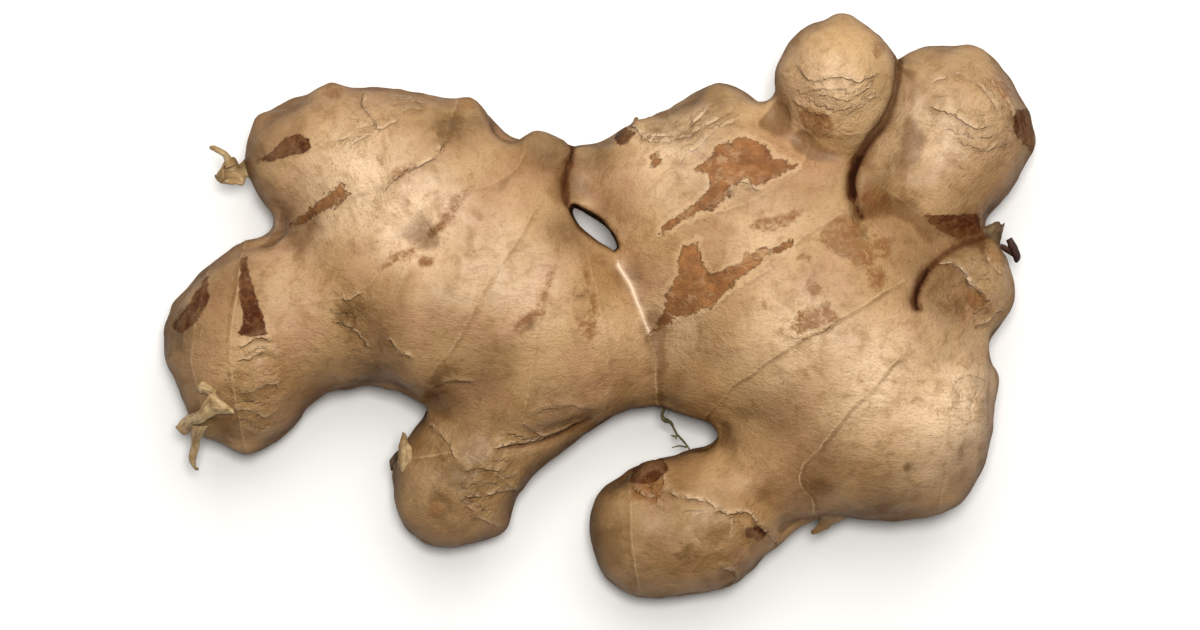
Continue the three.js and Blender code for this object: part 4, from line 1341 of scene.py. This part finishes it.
# Dry scale leaves: thin sheets, each a row of cross-lines (x, y and z of one edge, then of
# the other), with a swell across and small ripples.
leaves = {
    "leaf_upper_left": {"finish": "straw", "sheets": [
        {"rows": [(-60.0, 26.4, 16.2, -60.0, 22.0, 14.2), (-60.9, 26.2, 15.8, -60.9, 22.6, 14.0),
                  (-62.1, 25.2, 15.2, -61.4, 21.1, 13.6), (-63.0, 26.4, 15.6, -62.6, 21.2, 13.8),
                  (-64.4, 26.0, 16.2, -64.0, 21.3, 14.0), (-64.8, 24.8, 16.4, -65.2, 21.4, 14.4),
                  (-65.0, 23.4, 16.0, -65.8, 22.1, 14.8), (-65.6, 22.6, 15.6, -65.9, 22.2, 15.2)],
         "swell": -0.9, "ripple": 0.5},
        {"rows": [(-62.6, 25.0, 15.4, -64.5, 24.2, 16.0), (-63.7, 26.6, 16.2, -64.8, 26.0, 16.6),
                  (-64.5, 27.3, 16.9, -65.6, 26.7, 17.0), (-65.6, 27.9, 17.2, -66.5, 27.2, 17.0),
                  (-66.4, 28.2, 16.8, -67.0, 27.5, 16.4), (-66.8, 27.9, 16.4, -66.9, 27.7, 16.2)],
         "swell": 0.4, "ripple": 0.1}]},
    "leaf_far_left": {"finish": "straw", "sheets": [
        {"rows": [(-63.1, -17.2, 21.3, -63.2, -18.0, 20.9), (-64.4, -16.1, 22.4, -64.4, -18.2, 21.5),
                  (-65.6, -15.1, 23.0, -65.9, -18.4, 21.4), (-66.5, -14.1, 23.2, -67.5, -19.3, 19.8),
                  (-67.8, -15.0, 22.8, -68.5, -19.9, 18.2), (-68.9, -17.3, 20.4, -69.5, -20.2, 16.6),
                  (-70.4, -17.9, 17.0, -70.4, -21.2, 14.6), (-71.6, -18.5, 15.0, -71.2, -21.8, 13.2),
                  (-72.4, -19.5, 13.8, -72.0, -21.2, 13.0), (-72.6, -20.0, 13.2, -72.6, -20.5, 13.0)],
         "swell": 0.7, "ripple": 0.45},
        {"rows": [(-66.0, -13.8, 22.4, -66.8, -15.2, 22.4), (-67.3, -12.9, 23.4, -67.8, -14.7, 22.9),
                  (-68.3, -12.3, 23.6, -68.7, -14.6, 22.4), (-69.3, -13.1, 22.8, -69.1, -14.1, 22.0)],
         "swell": 0.5, "ripple": 0.3},
        {"rows": [(-70.4, -19.9, 17.0, -67.0, -20.1, 18.6), (-70.5, -20.9, 16.2, -67.6, -21.0, 17.4),
                  (-70.4, -22.1, 14.8, -68.5, -22.2, 15.2), (-70.4, -23.5, 13.6, -69.0, -23.9, 13.8),
                  (-70.8, -25.2, 12.8, -69.4, -25.7, 12.6), (-70.6, -26.4, 12.4, -69.6, -26.7, 12.2),
                  (-70.0, -27.4, 12.2, -69.5, -27.5, 12.0), (-69.5, -27.9, 12.2, -69.2, -27.9, 12.0)],
         "swell": 0.6, "ripple": 0.15}]},
    "leaf_lower_finger": {"finish": "straw", "sheets": [
        {"rows": [(-34.4, -28.4, 14.4, -32.2, -28.4, 17.4), (-34.8, -26.0, 14.8, -32.1, -25.7, 17.6),
                  (-34.8, -24.7, 15.0, -32.1, -23.9, 16.6), (-34.5, -23.1, 15.2, -32.9, -22.9, 15.2),
                  (-34.1, -21.8, 15.3, -33.2, -22.0, 15.1), (-34.0, -21.2, 15.3, -33.7, -21.4, 15.2)],
         "swell": 0.7, "ripple": 0.3},
        {"rows": [(-33.6, -23.6, 15.2, -34.0, -25.7, 14.8), (-35.1, -24.7, 15.4, -35.1, -26.2, 14.6),
                  (-36.0, -25.8, 15.2, -35.4, -26.7, 14.4), (-36.2, -26.3, 14.8, -35.6, -27.2, 14.2),
                  (-35.9, -27.8, 14.2, -35.7, -27.9, 14.1)], "swell": 0.2, "ripple": 0.15, "dark": 1.0}]},
    "leaf_bottom": {"finish": "straw", "sheets": [
        {"rows": [(37.3, -33.9, 19.4, 43.0, -35.4, 15.6), (37.8, -35.2, 17.2, 42.6, -36.2, 14.0),
                  (37.9, -36.3, 14.8, 40.6, -37.1, 13.4), (37.5, -37.2, 13.6, 39.3, -37.9, 12.9),
                  (36.9, -37.9, 13.0, 37.9, -38.5, 12.7), (36.5, -38.2, 12.7, 36.8, -38.7, 12.5)],
         "swell": 0.5, "ripple": 0.15, "tan": 1.0}]},
    "leaf_bud_crown": {"finish": "straw", "sheets": [
        {"rows": [(65.1, 12.7, 17.0, 69.6, 10.1, 15.2), (65.9, 13.8, 17.4, 69.3, 11.9, 16.2),
                  (66.9, 14.5, 17.8, 69.7, 13.4, 17.0), (68.0, 15.0, 18.2, 69.9, 14.4, 17.6),
                  (68.9, 15.1, 18.4, 69.9, 14.9, 18.0)], "swell": 0.6, "ripple": 0.15, "dark": 0.7,
         "tan": 0.2}]},
    "leaf_bud_curl": {"finish": "dark", "sheets": [
        {"rows": [(70.1, 11.8, 16.2, 71.1, 12.4, 16.4), (70.4, 11.0, 16.2, 71.7, 11.5, 16.4),
                  (70.7, 10.0, 16.0, 72.3, 10.3, 16.2), (71.2, 9.0, 15.8, 72.7, 9.1, 16.0),
                  (71.6, 8.3, 15.6, 72.4, 8.4, 15.8)], "swell": 1.1, "ripple": 0.1},
        {"rows": [(69.3, 11.4, 16.2, 69.8, 10.0, 15.4), (70.1, 11.0, 16.8, 70.6, 9.5, 15.8),
                  (70.9, 10.3, 16.6, 71.4, 9.0, 15.6)], "swell": 0.3, "ripple": 0.2}]},
    "leaf_right_shoulder": {"finish": "dark", "sheets": [
        {"rows": [(4.6, 30.2, 19.2, 6.8, 31.0, 19.6), (5.6, 31.8, 19.3, 6.7, 32.2, 19.6),
                  (6.0, 32.8, 19.4, 6.8, 32.6, 19.4), (6.3, 33.1, 19.4, 6.6, 33.0, 19.3)], "swell": 0.3,
         "ripple": 0.15, "tan": 1.0},
        {"rows": [(7.2, 31.5, 18.4, 10.4, 31.7, 18.8), (7.8, 32.5, 18.8, 9.6, 32.5, 18.8),
                  (8.3, 32.9, 18.6, 8.9, 32.9, 18.6)], "swell": 0.3, "ripple": 0.15},
        {"rows": [(2.4, 28.5, 19.4, 3.6, 28.1, 20.4), (2.8, 29.7, 19.6, 3.9, 29.2, 20.4),
                  (3.6, 30.3, 19.6, 4.5, 29.7, 20.4), (4.4, 30.6, 19.6, 5.0, 30.2, 20.2)], "swell": 0.3,
         "ripple": 0.15}]},
}
leafBuild = {
    "across": 10,          # faces across and along each sheet
    "along": 34,
    "thickness": 0.2,
    "ragged": 0.16,        # share of the width that the edge tears into
    "tearLength": 0.9,
    "rippleSize": 1.3,
    "sheetApart": 5.1,     # no two sheets tear alike
    "edgeApart": 3.3,      # nor do the two edges of one
}


def curveLength(curve):
    return sum((b - a).length for a, b in zip(curve[:-1], curve[1:]))


# The way a curve runs at a share of its length.
def aheadAt(curve, share, reach):
    return alongCurve(curve, min(share + reach, 1)) - alongCurve(curve, max(share - reach, 0))


def leafSheet(sheet, number):
    leftEdge = curveThrough([placeInView(*row[:3]) for row in sheet["rows"]])
    rightEdge = curveThrough([placeInView(*row[3:]) for row in sheet["rows"]])
    length = curveLength(leftEdge)

    def placeFor(u, v):
        left = alongCurve(leftEdge, v)
        right = alongCurve(rightEdge, v)
        row = number * leafBuild["sheetApart"] + (u > 0.5) * leafBuild["edgeApart"]
        tear = noise.noise(Vector((v * length / leafBuild["tearLength"], row, 0)))
        reach = 0.5 + (u - 0.5) * (1 - leafBuild["ragged"] * (0.5 + tear))
        outward = (right - left).cross(aheadAt(leftEdge, v, 0.02)).normalized()
        outward = outward if outward.z > 0 else -outward
        place = left.lerp(right, reach)
        ripple = noise.noise(place / leafBuild["rippleSize"] + Vector((number, 0, 0)))
        return place + outward * (sheet["swell"] * math.sin(math.pi * u) + sheet["ripple"] * ripple)

    grid, shares = shapedGrid(leafBuild["across"], leafBuild["along"], placeFor)
    width = (Vector(sheet["rows"][0][:3]) - Vector(sheet["rows"][0][3:])).length
    writeAttribute(grid, "along", shares[:, 1] * length)
    writeAttribute(grid, "across", shares[:, 0] * width)
    writeAttribute(grid, "sheet", np.full(len(shares), float(number)))
    writeAttribute(grid, "rim", np.maximum(np.abs(shares[:, 0] - 0.5) * 2, shares[:, 1]))
    writeAttribute(grid, "darkness", np.full(len(shares), sheet.get("dark", 0.0)))
    writeAttribute(grid, "tanness", np.full(len(shares), sheet.get("tan", 0.0)))
    return grid


leafFinish = {
    "straw": {"light": rgb(192, 168, 128), "middle": rgb(164, 134, 92), "vein": rgb(122, 94, 56),
              "rim": rgb(104, 80, 50), "dark": rgb(62, 40, 28), "tan": rgb(150, 118, 76)},
    "dark": {"light": rgb(86, 56, 42), "middle": rgb(58, 34, 26), "vein": rgb(40, 22, 16),
             "rim": rgb(30, 16, 12), "dark": rgb(30, 16, 12), "tan": rgb(142, 112, 76)},
    "roughness": (0.7, 0.54),   # between the veins and on them
    "bump": 0.00016,            # metres
}


def leafPaint(name, look):
    paint = Paint(name)
    strand = paint.fibres(0.22, 5.0)
    patch = paint.noise(1.6, 4, 0.6)
    colour = paint.mix(paint.between(patch, 0.35, 0.65), look["middle"], look["light"])
    colour = paint.mix(paint.attribute("tanness"), colour, look["tan"])
    colour = paint.mix(paint.between(strand, 0.52, 0.38) * 0.6, colour, look["vein"])
    rim = paint.between(paint.attribute("rim") + (patch - 0.5) * 0.6, 0.82, 1.05)
    colour = paint.mix(rim * 0.7, colour, look["rim"])
    dark = paint.attribute("darkness") * paint.between(patch, 0.2, 0.7, 1.3, 0.8)
    colour = paint.mix(dark, colour, look["dark"])
    height = strand * 1.4 + patch * 0.8
    roughness = paint.between(strand, 0.3, 0.7, *leafFinish["roughness"])
    return paint.finish(colour, roughness, height, leafFinish["bump"])


print("stage 5: scale leaves")
leafPaints = {
    "straw": leafPaint("dryLeaf", leafFinish["straw"]),
    "dark": leafPaint("darkLeaf", leafFinish["dark"]),
}
for nodeName, leaf in leaves.items():
    sheets = [leafSheet(sheet, number) for number, sheet in enumerate(leaf["sheets"])]
    piece = joinPieces(sheets, "dry_" + nodeName)
    applyModifier(piece, 'SOLIDIFY', thickness=leafBuild["thickness"] * mm, offset=0)
    applyModifier(piece, 'SUBSURF', levels=1)
    piece.data.materials.append(leafPaints[leaf["finish"]])
    bpy.ops.object.shade_smooth()
    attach(piece, "root")
    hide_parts(nodeName)
    "dry_leaf" if leaf["finish"] == "straw" else "dark_leaf"


# The thin root hanging in the bay and its side hairs: x, y, z and thickness along each.
rootlet = {
    "main": [(10.4, -14.6, 16.2, 0.7), (10.8, -16.6, 13.6, 0.6), (11.2, -17.3, 12.4, 0.55),
             (10.8, -18.2, 11.4, 0.5), (11.2, -19.1, 10.4, 0.85), (12.2, -19.5, 9.6, 0.65),
             (12.8, -20.5, 9.0, 0.42), (13.4, -21.6, 8.4, 0.42), (14.4, -22.7, 7.8, 0.36),
             (15.3, -23.8, 7.2, 0.3), (15.6, -24.4, 7.0, 0.2)],
    "sideHair": [(15.2, -23.8, 7.2, 0.3), (14.4, -23.7, 7.0, 0.3), (13.7, -23.6, 6.8, 0.26),
                 (12.5, -23.9, 6.6, 0.18)],
    "forkHair": [(13.4, -21.5, 8.4, 0.34), (13.2, -22.0, 8.2, 0.4), (12.4, -21.8, 8.0, 0.2)],
    "shortHair": [(13.2, -21.9, 8.2, 0.26), (13.3, -22.5, 8.0, 0.16)],
}


rootBuild = {
    "sides": 8,
    "perMillimetre": 3,    # rings of faces
    "knobbly": 0.3,        # share of its thickness that it varies by
    "knobLength": 0.6,
}


def rootStrand(points, number):
    line = curveThrough([placeInView(*point[:3]) for point in points])
    thickness = curveThrough([(point[3], 0) for point in points])
    length = curveLength(line)

    def placeFor(u, v):
        ahead = aheadAt(line, v, 0.03).normalized()
        side = ahead.cross(Vector((0, 0, 1))).normalized()
        up = side.cross(ahead)
        knob = noise.noise(Vector((v * length / rootBuild["knobLength"], number, 0)))
        radius = alongCurve(thickness, v).x / 2 * (1 + rootBuild["knobbly"] * knob)
        turn = 2 * math.pi * u
        return alongCurve(line, v) + (side * math.cos(turn) + up * math.sin(turn)) * radius

    sides = rootBuild["sides"]
    grid, shares = shapedGrid(sides, max(sides, int(length * rootBuild["perMillimetre"])), placeFor)
    writeAttribute(grid, "along", shares[:, 1] * length)
    writeAttribute(grid, "across", np.sin(shares[:, 0] * math.pi))
    writeAttribute(grid, "sheet", np.full(len(shares), float(number)))
    onWholeMesh(grid, mergeDoubles, faceOutwards)
    return grid


rootFinish = {
    "pale": rgb(132, 124, 90),
    "dark": rgb(84, 78, 52),
    "roughness": (0.78, 0.62),
    "bump": 0.00006,            # metres
}


def rootPaint():
    paint = Paint("rootFibre")
    strand = paint.fibres(0.3, 1.6)
    colour = paint.mix(paint.between(strand, 0.35, 0.65), rootFinish["dark"], rootFinish["pale"])
    roughness = paint.between(strand, 0.3, 0.7, *rootFinish["roughness"])
    return paint.finish(colour, roughness, strand, rootFinish["bump"])


print("stage 6: thin root")
strands = [rootStrand(points, number) for number, points in enumerate(rootlet.values())]
thinRoot = joinPieces(strands, "hanging_root")
thinRoot.data.materials.append(rootPaint())
bpy.ops.object.shade_smooth()
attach(thinRoot, "root")
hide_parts("thin_root")
